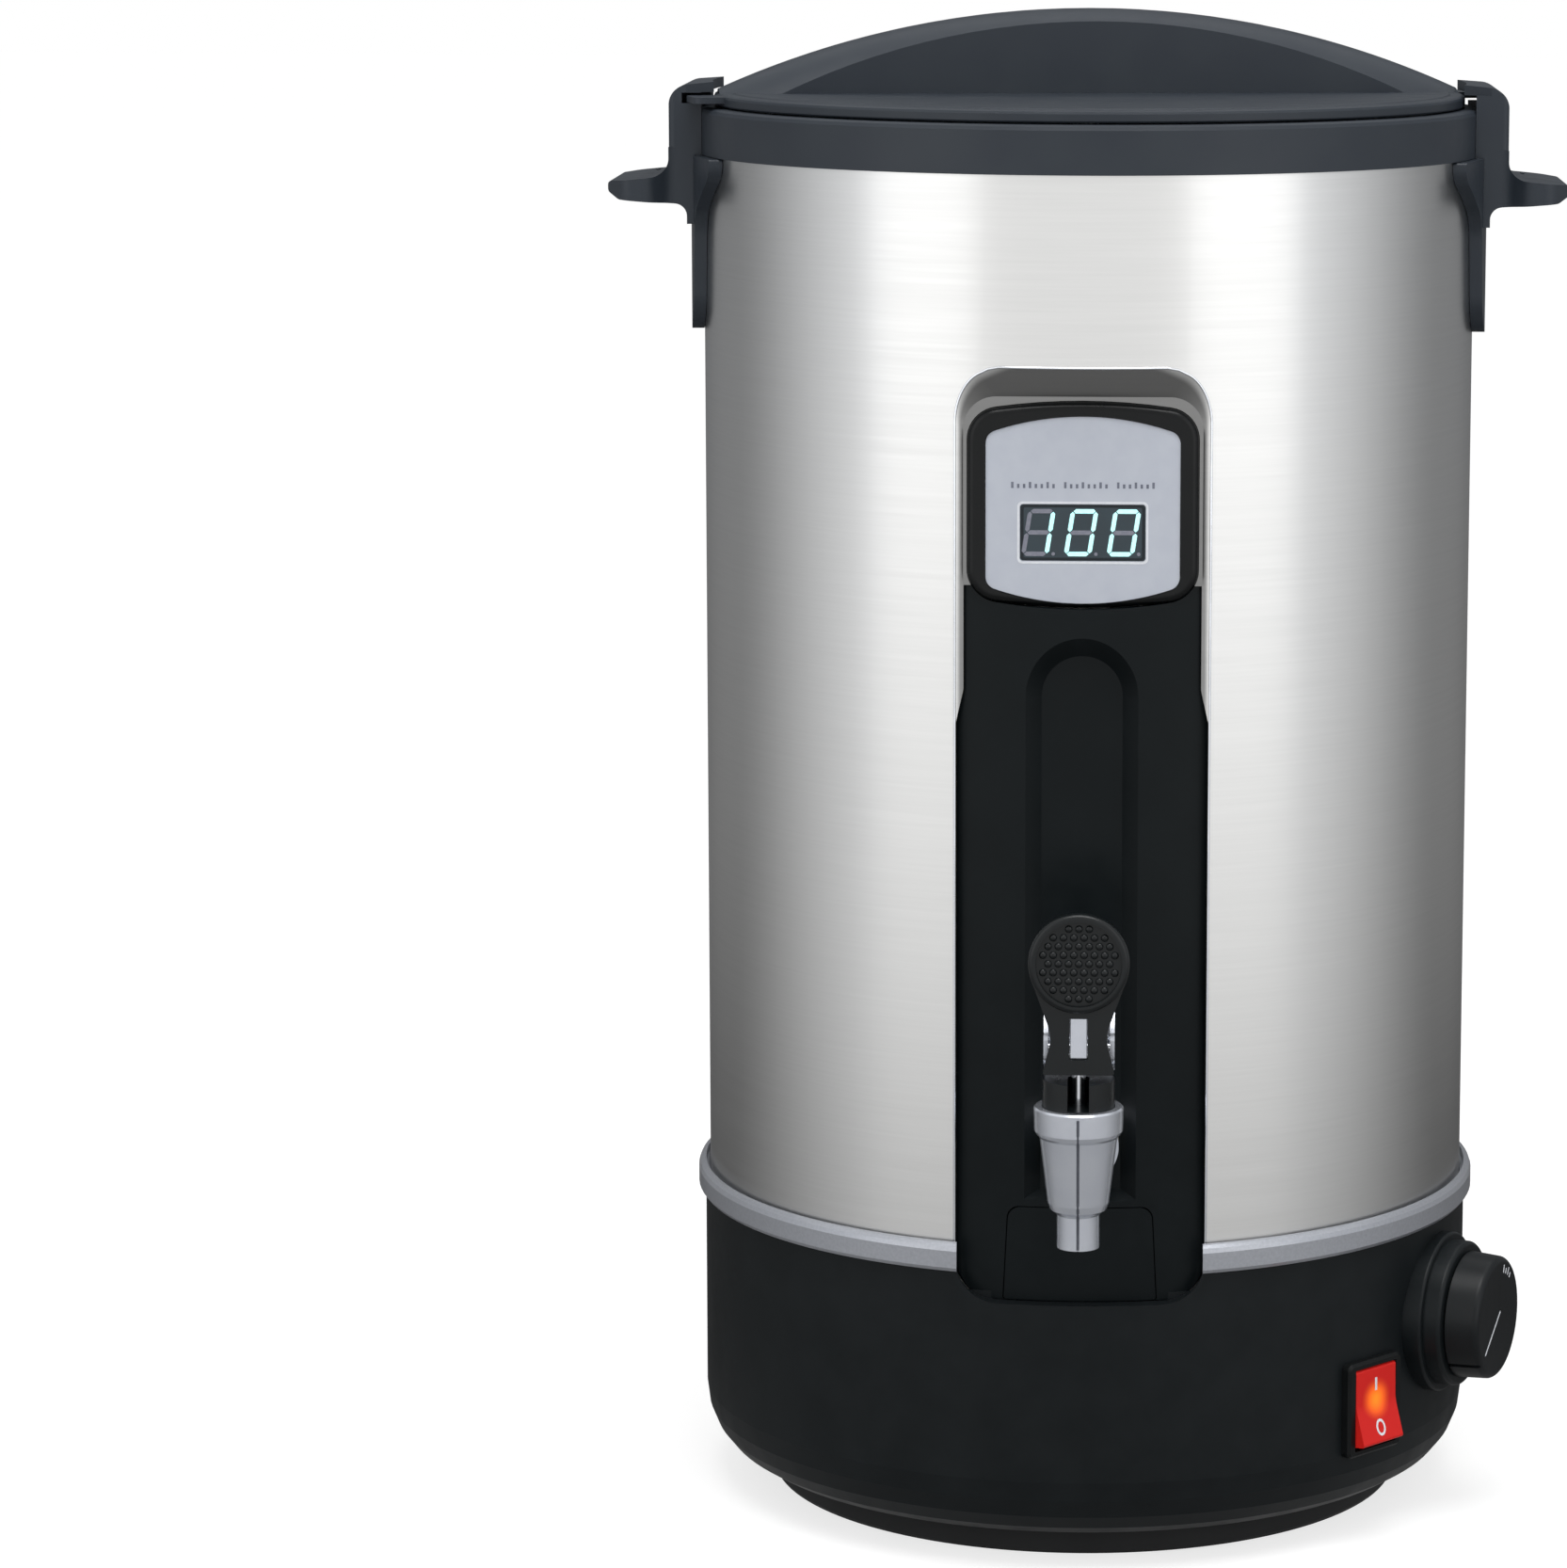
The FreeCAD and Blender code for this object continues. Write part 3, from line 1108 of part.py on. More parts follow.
def make_tap_bonnet():
    bonnet = fused([
        disc(BONNET_R, CHAMBER_TOP, BONNET_TOP, 0, TAP_Y),
        disc(CHAMBER_R - LAP / 2, CHAMBER_TOP - BONNET_PLUG, CHAMBER_TOP, 0, TAP_Y),
    ])
    half, slot_z, slot_top = BONNET_SLOT_HALF, COLLAR_TOP + 0.4, BONNET_TOP + 5
    slot = block(-half, half, TAP_Y - BONNET_R - 1, TAP_Y - 0.65, slot_z, slot_top)
    round_end = disc(half, slot_z, slot_top, 0, TAP_Y)
    guide = disc(STEM_R + RUN, 0, BIG, 0, TAP_Y)
    return cut(bonnet, [slot, round_end, guide])


def make_tap_stem():
    stem = fused([
        disc(STEM_R, SEAT_Z + STEM_SEAT, STEM_TOP, 0, TAP_Y),
        disc(CHAMBER_R - 1.8, STEM_COLLAR_Z, STEM_COLLAR_Z + STEM_COLLAR_T, 0, TAP_Y),
    ])
    return stem.cut(make_cross_pin())


def make_cross_pin():
    return rod(V(-CROSS_PIN_HALF, TAP_Y, CROSS_PIN_Z), RIGHT, CROSS_PIN_R, 2 * CROSS_PIN_HALF)


def make_seat_plug():
    plug = disc(CHAMBER_R - 1.2, SEAT_Z, STEM_COLLAR_Z, 0, TAP_Y)
    return plug.cut(disc(STEM_R, SEAT_Z + STEM_SEAT, STEM_COLLAR_Z + 1, 0, TAP_Y))


def make_tap_spring():
    wire_r, slack = SPRING_WIRE_R, 0.05
    foot, top = STEM_COLLAR_Z + STEM_COLLAR_T, CHAMBER_TOP - BONNET_PLUG
    height = top - foot - 2 * (wire_r + slack)
    helix = Part.makeHelix(height / SPRING_TURNS, height, SPRING_R)
    circle = Part.Wire(Part.makeCircle(wire_r, V(SPRING_R, 0, 0), BACK))
    spring = Part.Wire(helix).makePipeShell([circle], True, True)
    spring.translate(V(0, TAP_Y, foot + wire_r + slack))
    return spring


def make_lever():
    """A moulded channel: a round thumb pad, a waisted neck and two ears on the pin."""
    front, back = LEVER_FRONT, LEVER_FRONT + LEVER_T
    foot, neck_z = LEVER_FOOT_Z, LEVER_PIN_Z + LEVER_NECK_UP
    side_x, side_z = LEVER_DISC_R * 0.94, LEVER_DISC_Z - LEVER_DISC_R * 0.34  # on the pad's edge
    waist_z = neck_z + 2.0
    plate = front_prism(
        [(-LEVER_FOOT_HALF, foot, 0.6), (LEVER_FOOT_HALF, foot, 0.6), (LEVER_NECK_HALF, neck_z - 2.0, 10),
         (LEVER_NECK_HALF, waist_z, 12), (side_x, side_z, 0), (-side_x, side_z, 0),
         (-LEVER_NECK_HALF, waist_z, 12), (-LEVER_NECK_HALF, neck_z - 2.0, 10)],
        front, back,
    )
    proud = LEVER_PAD_PROUD
    pad = rod(V(0, front - proud, LEVER_DISC_Z), BACK, LEVER_DISC_R, LEVER_T + proud)
    pad = pad.makeFillet(1.4, [e for e in pad.Edges if e.Length > 3 * LEVER_DISC_R])
    dish = rod(V(0, front - proud - 0.4, LEVER_DISC_Z), BACK, LEVER_DISC_R - LEVER_RIM, proud)
    lever = fused([plate, pad]).cut(dish)
    ear_out, ear_in = LEVER_NECK_HALF, LEVER_NECK_HALF - LEVER_EAR_T
    boss = LEVER_BOSS_R
    ears = []
    for sign in (-1, 1):
        x0, x1 = sorted((sign * ear_in, sign * ear_out))
        ear = side_prism(
            [(back - 1, foot + 0.3, 0), (LEVER_PIN_Y, LEVER_PIN_Z - boss, 0),
             (LEVER_PIN_Y, LEVER_PIN_Z + boss, 0), (back - 1, LEVER_PIN_Z + 12, 0)],
            x0, x1,
        )
        ears.append(ear.fuse(rod(V(x0, LEVER_PIN_Y, LEVER_PIN_Z), RIGHT, boss, x1 - x0)))
    web = block(-ear_in - 0.5, ear_in + 0.5, back - 1, TAP_Y + 4.6, WEB_Z0, WEB_Z1)
    lever = fused([lever, web] + ears)
    half, z0, z1 = STEM_R + 0.65, WEB_Z0 - 1, WEB_Z1 + 0.5
    slot = disc(half, z0, z1, 0, TAP_Y).fuse(block(-half, half, TAP_Y, TAP_Y + 10, z0, z1))
    window = front_prism(
        box_outline(LEVER_WINDOW_HALF, LEVER_PIN_Z + LEVER_WINDOW_FOOT, LEVER_PIN_Z + LEVER_WINDOW_TOP, 0.5),
        front - 3, back + 3,
    )
    pin = rod(V(-BIG, LEVER_PIN_Y, LEVER_PIN_Z), RIGHT, LEVER_PIN_R + RUN, 2 * BIG)
    return cut(lever, [slot, window, pin])


def make_bracket():
    """The bright fulcrum bracket: a foot on the bonnet, a back plate and two cheeks."""
    t, half, back_y, sole = BRACKET_T, BRACKET_HALF, BRACKET_Y, BONNET_TOP + 1.2
    foot = disc(BONNET_R - LAP, BONNET_TOP, sole, 0, TAP_Y)
    foot = foot.common(block(-half, half, TAP_Y + BONNET_SLOT_HALF + LAP, back_y + t, 0, BIG))
    neck = block(-half + 3.5, half - 3.5, TAP_Y + 8, back_y + t, BONNET_TOP, sole)
    plate = front_prism(upright(half, BONNET_TOP, BRACKET_TOP, 0, half * 0.92), back_y, back_y + t)
    front_y = LEVER_PIN_Y - 3.6
    cheeks = []
    for sign in (-1, 1):
        x0, x1 = sorted((sign * (half - t), sign * half))
        cheeks.append(side_prism(
            [(front_y, LEVER_PIN_Z - 4, 3.2), (back_y + 0.5, BONNET_TOP, 0),
             (back_y + 0.5, LEVER_PIN_Z + 14, 0), (front_y, LEVER_PIN_Z + 4.2, 3.4)],
            x0, x1,
        ))
    return fused([foot, neck, plate] + cheeks).cut(make_lever_pin())


def make_lever_pin():
    return rod(V(-BRACKET_HALF, LEVER_PIN_Y, LEVER_PIN_Z), RIGHT, LEVER_PIN_R, 2 * BRACKET_HALF)


def washer_along_y(y0, y1, r_out, r_in):
    outer = rod(V(0, y0, SHANK_Z), BACK, r_out, y1 - y0)
    return outer.cut(rod(V(0, y0 - 1, SHANK_Z), BACK, r_in, y1 - y0 + 2))


def make_tap_washers():
    outer = washer_along_y(POT_SEAT_Y, -(POT_R - 3), WASHER_R, THREAD_R).cut(disc(POT_R, 0, BIG))
    inner = washer_along_y(-POT_R, NUT_Y, WASHER_R, THREAD_R).common(disc(POT_R - POT_WALL, 0, BIG))
    front = washer_along_y(CHANNEL_FLOOR_Y - FRONT_WASHER_T, CHANNEL_FLOOR_Y, SHANK_FLANGE_R, SHANK_R)
    return Part.Compound([outer, inner, front])


def make_tap_locknut():
    r = NUT_AF / math.sqrt(3)
    corners = []
    for i in range(6):
        a = math.pi / 3 * i + math.pi / 6
        corners.append((r * math.cos(a), SHANK_Z + r * math.sin(a), 0))
    nut = front_prism(corners, NUT_Y, NUT_Y + NUT_T)
    start = V(0, NUT_Y, SHANK_Z)
    nut = nut.common(rod(start, BACK, r * 0.955, NUT_T).fuse(rod(start, BACK, r, NUT_T - 1)))
    return nut.cut(rod(start, BACK, THREAD_R, NUT_T))


# ---------------------------------------------------------------- heating parts
def make_heating_plate():
    plate = disc(HEAT_PLATE_R, PLATE_UNDER, POT_FLOOR_Z)
    element = Part.makeTorus(ELEMENT_R, ELEMENT_ROD_R, V(0, 0, PLATE_UNDER - 2.6))
    element = element.cut(disc(HEAT_PLATE_R, PLATE_UNDER, POT_FLOOR_Z))
    gap = TERMINAL_X + 4.5
    plate = plate.fuse(element.cut(block(-gap, gap, 0, HEAT_PLATE_R, 0, BIG)))
    return plate.cut(disc(TIE_R, 0, BIG))


def make_element_terminals():
    x, y, neck_z, tip_z = TERMINAL_X, TERMINAL_Y, PLATE_UNDER - 8, PLATE_UNDER - 12
    posts = []
    for at in (-x, x):
        tab = blade(at, y, BLADE_HALF_T, BLADE_HALF_W, tip_z - 5, tip_z)
        posts.append(fused([disc(3.2, neck_z, PLATE_UNDER, at, y), disc(1.6, tip_z, neck_z, at, y), tab]))
    return Part.Compound(posts)


def make_heat_shield():
    r = BODY_R - STEEL - 3.2
    top = SHIELD_Z + SHIELD_T
    shield = disc(r, SHIELD_Z, top).fuse(ring(SHIELD_RIB_R, SHIELD_RIB_R - 4, top, top + 1.2))
    half = MOUNT_TAB_HALF + 1
    riser = capillary_route()[1]
    return cut(shield, [
        block(-half, half, -BIG, -(HOUSING_R - 9.5), 0, BIG),
        disc(TIE_R + LAP, 0, BIG),
        disc(WIRE_HOLE_R, 0, BIG, -WIRE_RISE_X, WIRE_RISE_Y),
        disc(WIRE_HOLE_R, 0, BIG, WIRE_RISE_X, WIRE_RISE_Y),
        disc(CAPILLARY_R + 1, 0, BIG, riser.x, riser.y),
    ])


def make_tie_bolt():
    top = POT_FLOOR_Z - 0.4
    return disc(TIE_R, SHIELD_Z - 9, top).fuse(disc(TIE_HEAD_R, top - 9.0, top - HEAT_PLATE_T + 0.4))


def make_tie_nut():
    corners = [(*around(TIE_NUT_R, 60 * i), 0) for i in range(6)]
    washer_z = SHIELD_Z - TIE_WASHER_T
    nut = plan_prism(corners, washer_z - 6.4, washer_z)
    return nut.fuse(disc(TIE_NUT_R + 1.9, washer_z, SHIELD_Z)).cut(disc(TIE_R, 0, BIG))


def make_thermal_cutout():
    y, can_z, base_z = CUTOUT_Y, PLATE_UNDER - 5, PLATE_UNDER - 6.4
    foot_z = base_z - BLADE_LENGTH
    pieces = [disc(CUTOUT_R, can_z, PLATE_UNDER, 0, y), block(-12, 12, y - 4, y + 4, base_z, can_z)]
    for x in (-5, 5):
        pieces.append(blade(x, y, BLADE_HALF_T, BLADE_HALF_W, foot_z, base_z))
    return fused(pieces)


def make_temperature_probe():
    """A sensor head in a clip on the pot's wall, behind the housing's right edge."""
    y0 = -(POT_R + PROBE_R + 0.6)
    z = POT_FLOOR_Z + PROBE_UP
    head = rod(V(0, y0, z), UP, PROBE_R, PROBE_LENGTH)
    pad = block(-5, 5, y0 - 1.2, -POT_R + 3, z + 4, z + 12)
    return at_azimuth(fused([pad, head]).cut(disc(POT_R, 0, BIG)), PROBE_AZ)


# ---------------------------------------------------------------- controls on the base
def make_thermostat_body():
    front, back, half = THERMOSTAT_FRONT, THERMOSTAT_BACK, THERMOSTAT_HALF
    case = block(-half, half, -front, -back, KNOB_Z - THERMOSTAT_BELOW, SHIELD_Z - 5)
    case = case.makeFillet(3, [e for e in case.Edges if is_along_y(e)])
    case = case.common(disc(BASE_R - BASE_WALL - 0.1, 0, BIG))
    bush_y = ESCUTCHEON_FACE - 1.0
    pieces = [case, rod(V(0, -bush_y, KNOB_Z), BACK, BUSH_R, bush_y - front + 1.0)]
    for x in (-8, 8):
        y0, y1, z0 = -back - 0.5, -back + BLADE_LENGTH - 2, KNOB_Z - 9 - BLADE_HALF_W
        pieces.append(blade(x, (y0 + y1) / 2, BLADE_HALF_T, (y1 - y0) / 2, z0, z0 + 2 * BLADE_HALF_W))
    spindle = rod(V(0, -BIG, KNOB_Z), BACK, SPINDLE_R + RUN, BIG - front + 8)
    return at_azimuth(fused(pieces).cut(spindle), KNOB_AZ)


def capillary_route():
    """From the back of the thermostat, up through the heat shield to the bulb."""
    start = at_azimuth(Part.Vertex(V(0, -THERMOSTAT_BACK, KNOB_Z + 9)), KNOB_AZ).Point
    inward = V(start.x, start.y, 0)
    inward.normalize()
    knee = start - inward * 6
    level = SHIELD_Z + 9
    bulb_end = V(BULB_X, BULB_Y, PLATE_UNDER - BULB_R)
    return [start, knee, V(knee.x, knee.y, level), V(bulb_end.x, bulb_end.y, level), bulb_end]


def make_bulb():
    """The thermostat's sensing bulb under the heating plate, and its capillary."""
    route = capillary_route()
    return fused([tube_path(route, CAPILLARY_R), rod(route[-1], V(-1, 0, 0), BULB_R, BULB_LENGTH)])


def make_spindle():
    end = KNOB_FACE - SPINDLE_COVER
    return at_azimuth(rod(V(0, -end, KNOB_Z), BACK, SPINDLE_R, end - THERMOSTAT_FRONT + 6), KNOB_AZ)


def make_escutcheon():
    plate = rod(V(0, -ESCUTCHEON_STEP, KNOB_Z), BACK, ESCUTCHEON_R, 12)
    boss = rod(V(0, -ESCUTCHEON_FACE, KNOB_Z), BACK, ESCUTCHEON_BOSS_R, 12)
    plate = plate.makeFillet(0.9, front_edges(plate, -ESCUTCHEON_STEP))
    boss = boss.makeFillet(1.4, front_edges(boss, -ESCUTCHEON_FACE))
    whole = cut(plate.fuse(boss), [disc(BASE_R, 0, BIG), rod(V(0, -BIG, KNOB_Z), BACK, BUSH_R, BIG)])
    return at_azimuth(whole, KNOB_AZ)


def make_knob():
    """A smooth moulded knob; a groove across its face and down its side is the pointer."""
    face, back = -KNOB_FACE, -(ESCUTCHEON_FACE + KNOB_GAP)
    body = Part.makeCone(KNOB_R - 0.7, KNOB_R, back - face, V(0, face, KNOB_Z), BACK)
    body = body.makeFillet(KNOB_ROUND, front_edges(body, face))
    pointer = block(-3, POINTER_R, face - 1, face + 0.5, KNOB_Z - 0.6, KNOB_Z + 0.6)
    index = block(KNOB_R - 1.3, KNOB_R + 5, face - 1, back + 1, KNOB_Z - 0.8, KNOB_Z + 0.8)
    for tool in (pointer, index):
        tool.rotate(V(0, 0, KNOB_Z), V(0, -1, 0), POINTER_TURN)
    socket = rod(V(0, back + 1, KNOB_Z), V(0, -1, 0), BUSH_R + 0.6, 2.4)
    shaft = rod(V(0, 0, KNOB_Z), V(0, -1, 0), SPINDLE_R, KNOB_FACE - SPINDLE_COVER)
    return at_azimuth(cut(body, [pointer, index, socket, shaft]), KNOB_AZ)


def make_rocker_frame():
    z, face = ROCKER_Z, -FRAME_FACE
    outer = front_prism(box_outline(FRAME_W / 2, z - FRAME_H / 2, z + FRAME_H / 2, 2), face, -(BASE_R - 4))
    outer = outer.makeChamfer(0.9, front_edges(outer, face)).cut(disc(BASE_R, 0, BIG))
    w, h = SWITCH_BODY_W / 2, SWITCH_BODY_H / 2
    case = block(-w, w, face + 1.2, face + SWITCH_DEPTH, z - h, z + h)
    w, h = OPENING_W / 2, OPENING_H / 2
    opening = block(-w, w, face - 5, face + OPENING_DEPTH, z - h, z + h)
    pivot = rod(V(-w - 0.5, -ROCKER_PIVOT, z), RIGHT, PIVOT_R + RUN, 2 * w + 1.0)
    return at_azimuth(cut(outer.fuse(case), [opening, pivot]), ROCKER_AZ)


def make_rocker():
    z, h, w = ROCKER_Z, OPENING_H / 2 - 1.0, OPENING_W / 2 - 0.3
    hollow, edge, waist, root = (-(ROCKER_PIVOT + out) for out in (3.4, 5.2, -0.5, -3.2))
    rocker = side_prism(
        [(hollow, z, 12), (edge, z + h, 0.9), (waist, z + h - 0.2, 0.9), (root, z + 5, 2), (root, z - 5, 2),
         (waist, z - h + 0.2, 0.9), (edge, z - h, 0.9)],
        -w, w,
    )
    rocker = rocker.fuse(rod(V(-w - 0.6, -ROCKER_PIVOT, z), RIGHT, PIVOT_R, 2 * w + 1.2))
    # at rest the switch is on, its upper end pressed in
    rocker.rotate(V(0, -ROCKER_PIVOT, z), RIGHT, -ROCKER_SWING / 2)
    return at_azimuth(rocker, ROCKER_AZ)


def make_switch_terminals():
    y = -FRAME_FACE + SWITCH_DEPTH + BLADE_LENGTH / 2
    blades = []
    for x in (-5.5, 5.5):
        for z in (ROCKER_Z - 8, ROCKER_Z + 8):
            blades.append(blade(x, y, BLADE_HALF_W, BLADE_LENGTH / 2, z - BLADE_HALF_T, z + BLADE_HALF_T))
    return at_azimuth(Part.Compound(blades), ROCKER_AZ)


def make_inlet():
    z, face = INLET_Z, -INLET_FACE
    outline = box_outline(INLET_W / 2, z - INLET_H / 2, z + INLET_H / 2, INLET_CORNER)
    flange = front_prism(outline, face, -(BASE_R - 6)).cut(disc(BASE_R, 0, BIG))
    w, h = INLET_BODY_W / 2, INLET_BODY_H / 2
    case = block(-w, w, face + 1, face + INLET_DEPTH, z - h, z + h)
    cavity = front_prism(
        [(-w + 1.3, z - h + 1.4, 1), (w - 1.3, z - h + 1.4, 1), (w - 1.3, z + h - 5, 0.5),
         (w - 5, z + h - 1.4, 0.5), (-w + 5, z + h - 1.4, 0.5), (-w + 1.3, z + h - 5, 0.5)],
        face - 5, face + INLET_CAVITY_DEPTH,
    )
    tools = [cavity] + inlet_pin_solids()
    for x in (-INLET_SCREW_X, INLET_SCREW_X):
        tools.append(rod(V(x, -BIG, z), BACK, SCREW_R - 0.3, BIG))
        tools.append(Part.makeCone(3.4, SCREW_R - 0.3, 1.8, V(x, face, z), BACK))
    return opposite(cut(flange.fuse(case), tools))


def inlet_pin_solids():
    y0, y1 = -INLET_FACE + 3.5, -INLET_FACE + INLET_PIN_DEPTH
    return [block(x - 1, x + 1, y0, y1, INLET_Z + up - 2, INLET_Z + up + 2) for x, up in INLET_PINS]


def make_inlet_pins():
    return opposite(Part.Compound(inlet_pin_solids()))


def make_inlet_screws():
    face, slot_y, r = -INLET_FACE, -INLET_FACE + 0.7, SCREW_R - 0.5
    screws = []
    for x in (-INLET_SCREW_X, INLET_SCREW_X):
        head = Part.makeCone(3.4, r, 1.8, V(x, face, INLET_Z), BACK)
        shank = rod(V(x, face + 1, INLET_Z), BACK, r, 9)
        slots = []
        for half, slit in ((2.2, 0.4), (0.4, 2.2)):
            slots.append(block(x - half, x + half, face - 1, slot_y, INLET_Z - slit, INLET_Z + slit))
        screws.append(cut(head.fuse(shank), slots))
    return opposite(Part.Compound(screws))


def block_wells(r, z0, z1):
    """Three round solids in a row, one for each clamp of the terminal block."""
    return [disc(r, z0, z1, BLOCK_STEP * i, (BLOCK_Y0 + BLOCK_Y1) / 2) for i in (-1, 0, 1)]


def make_terminal_block():
    case = block(-BLOCK_HALF, BLOCK_HALF, BLOCK_Y0, BLOCK_Y1, BLOCK_Z, BLOCK_Z + BLOCK_H)
    return cut(case, block_wells(WELL_R, BLOCK_Z + WELL_FLOOR, BLOCK_Z + BLOCK_H + 1))


def make_terminal_screws():
    floor = BLOCK_Z + WELL_FLOOR
    return Part.Compound(block_wells(WELL_R - 0.4, floor, floor + 5))


def make_wires():
    """Insulated wires from the inlet to the terminal block, and from there to the heating plate."""
    r = WIRE_R
    z_block = BLOCK_Z + 9
    inlet_y = INLET_FACE - INLET_PIN_DEPTH
    wires = []
    for (x, up), clamp in zip(INLET_PINS, (1, -1, 0)):
        y, z, x1 = inlet_y - r, INLET_Z + up, clamp * BLOCK_STEP
        wires.append(tube_path([
            V(-x, y, z),
            V(-x, inlet_y - 14, z),
            V(x1, BLOCK_Y1 + r + 16, z_block),
            V(x1, BLOCK_Y1 + r, z_block),
        ], r))
    for sign in (-1, 1):
        x, y = sign * WIRE_RISE_X, WIRE_RISE_Y
        wires.append(tube_path([
            V(sign * BLOCK_STEP, BLOCK_Y0 - r, z_block),
            V(x, BLOCK_Y0 - 12, z_block),
            V(x, y, SHIELD_Z - 20),
            V(x, y, SHIELD_Z + 4),
            V(sign * TERMINAL_X, TERMINAL_Y, PLATE_UNDER - 18.5),
        ], r))
    return Part.Compound(wires)


def make_base_screws():
    screws = []
    for angle in BASE_SCREW_ANGLES:
        x, y = around(BASE_SCREW_R, angle)
        tip = V(x, y, BOTTOM_Z + BASE_SCREW_LENGTH)
        screws.append(screw_along(tip, V(0, 0, -1), SCREW_R - 0.2, BASE_SCREW_LENGTH, 3.8, 2.4))
    return Part.Compound(screws)


PARTS = {
    "outer_shell": make_outer_shell,
    "inner_pot": make_inner_pot,
    "insulation_blanket": make_insulation,
    "base_shell": make_base_shell,
    "bottom_plate": make_bottom_plate,
    "bottom_plate_screws": make_base_screws,
    "foot_ring": make_foot_ring,
    "trim_ring": make_trim_ring,
    "rim_ring": make_rim_ring,
    "right_handle": make_handle,
    "left_handle": lambda: opposite(make_handle()),
    "handle_screws": make_handle_screws,
    "lid_shell": make_lid_shell,
    "lid_gasket": make_lid_gasket,
    "lid_inner_cover": make_lid_cover,
    "lid_stud": make_lid_stud,
    "lid_retaining_clip": make_lid_clip,
    "front_housing": make_front_housing,
    "housing_screw_cover": make_screw_cover,
    "housing_screws": make_housing_screws,
    "display_bezel": make_bezel,
    "display_plate": make_display_plate,
    "led_window": make_led_window,
    "led_module": make_display_module,
    "display_board": make_display_board,
    "display_screws": make_display_screws,
    "tap_body": make_tap_body,
    "tap_bonnet": make_tap_bonnet,
    "tap_stem": make_tap_stem,
    "tap_stem_cross_pin": make_cross_pin,
    "tap_seat_plug": make_seat_plug,
    "tap_spring": make_tap_spring,
    "tap_lever": make_lever,
    "tap_lever_pin": make_lever_pin,
    "tap_fulcrum_bracket": make_bracket,
    "tap_washers": make_tap_washers,
    "tap_locknut": make_tap_locknut,
    "heating_plate": make_heating_plate,
    "element_terminals": make_element_terminals,
    "heat_shield": make_heat_shield,
    "tie_bolt": make_tie_bolt,
    "tie_nut": make_tie_nut,
    "thermal_cutout": make_thermal_cutout,
    "temperature_probe": make_temperature_probe,
    "thermostat_body": make_thermostat_body,
    "thermostat_bulb": make_bulb,
    "thermostat_spindle": make_spindle,
    "knob_escutcheon": make_escutcheon,
    "control_knob": make_knob,
    "rocker_frame": make_rocker_frame,
    "rocker": make_rocker,
    "switch_terminals": make_switch_terminals,
    "inlet_socket": make_inlet,
    "inlet_pins": make_inlet_pins,
    "inlet_screws": make_inlet_screws,
    "terminal_block": make_terminal_block,
    "terminal_screws": make_terminal_screws,
    "internal_wires": make_wires,
}

os.makedirs("parts", exist_ok=True)
for name, make in PARTS.items():
    save(name, make())
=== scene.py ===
# %% [markdown]
# # An electric urn that melts wax
#
# This lesson dresses the model of a tap urn: a steel shell round an inner pot, a black moulded base,
# a lid with an arched grip, a display on the front and a small spring tap. The solid parts come ready made.
# Here they get their finishes, and the small things that are printed, glued or filled in.

# %% Load the solid parts
import math

import bmesh
import bpy
from mathutils import Matrix, Vector


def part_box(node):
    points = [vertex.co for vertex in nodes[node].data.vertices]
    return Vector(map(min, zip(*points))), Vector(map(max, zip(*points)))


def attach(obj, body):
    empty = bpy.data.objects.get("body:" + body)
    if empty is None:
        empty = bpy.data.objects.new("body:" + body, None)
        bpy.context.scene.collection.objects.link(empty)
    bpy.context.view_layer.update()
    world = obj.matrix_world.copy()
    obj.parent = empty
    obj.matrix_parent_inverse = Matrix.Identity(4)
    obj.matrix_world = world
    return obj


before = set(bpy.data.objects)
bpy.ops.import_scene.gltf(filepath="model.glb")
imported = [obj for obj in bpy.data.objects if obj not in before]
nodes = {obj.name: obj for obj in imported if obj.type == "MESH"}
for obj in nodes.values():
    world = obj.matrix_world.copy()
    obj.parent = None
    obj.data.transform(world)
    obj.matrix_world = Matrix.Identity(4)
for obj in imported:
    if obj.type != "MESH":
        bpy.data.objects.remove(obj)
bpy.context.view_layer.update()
MM = 0.001  # the parts are in metres, sizes below are written in millimetres
bpy.context.scene.view_settings.view_transform = "Standard"  # colours come out as they are written

# %% [markdown]
# ## Helpers for colours and nodes
#
# Colours are easiest to read as the hex values of a screen. Shaders work on linear light, so one function
# turns a hex value into linear numbers. A second one adds a node to a material, sets it up and links it,
# which keeps every material below short enough to read in one go.


# %% Colour and node helpers
def colour(hex_text):
    """The linear RGBA numbers of an sRGB hex value."""
    channels = [int(hex_text[i:i + 2], 16) / 255 for i in (1, 3, 5)]
    linear = [c / 12.92 if c <= 0.04045 else ((c + 0.055) / 1.055) ** 2.4 for c in channels]
    return (*linear, 1.0)


def add(tree, kind, settings=None, inputs=None):
    """Adds a node. settings are its own options; inputs are values, or sockets to link, by name or number."""
    node = tree.nodes.new(kind)
    for name, value in (settings or {}).items():
        setattr(node, name, value)
    for key, value in (inputs or {}).items():
        if isinstance(value, bpy.types.NodeSocket):
            tree.links.new(value, node.inputs[key])
        else:
            node.inputs[key].default_value = value
    return node


def per_metre(size_mm):
    """A texture's scale for features of that size, since its coordinates are metres."""
    return 1.0 / (size_mm * MM)


print("mid grey #808080 is", round(colour("#808080")[0], 3), "in linear light")

# %% [markdown]
# ## Camera
#
# The urn is seen from a little above and almost straight on, from a little under two metres. It stands
# right of the middle, so the lens is shifted sideways rather than the camera turned away. The place and the
# tilt were worked out from where the rim, the foot and the display fall in the frame.

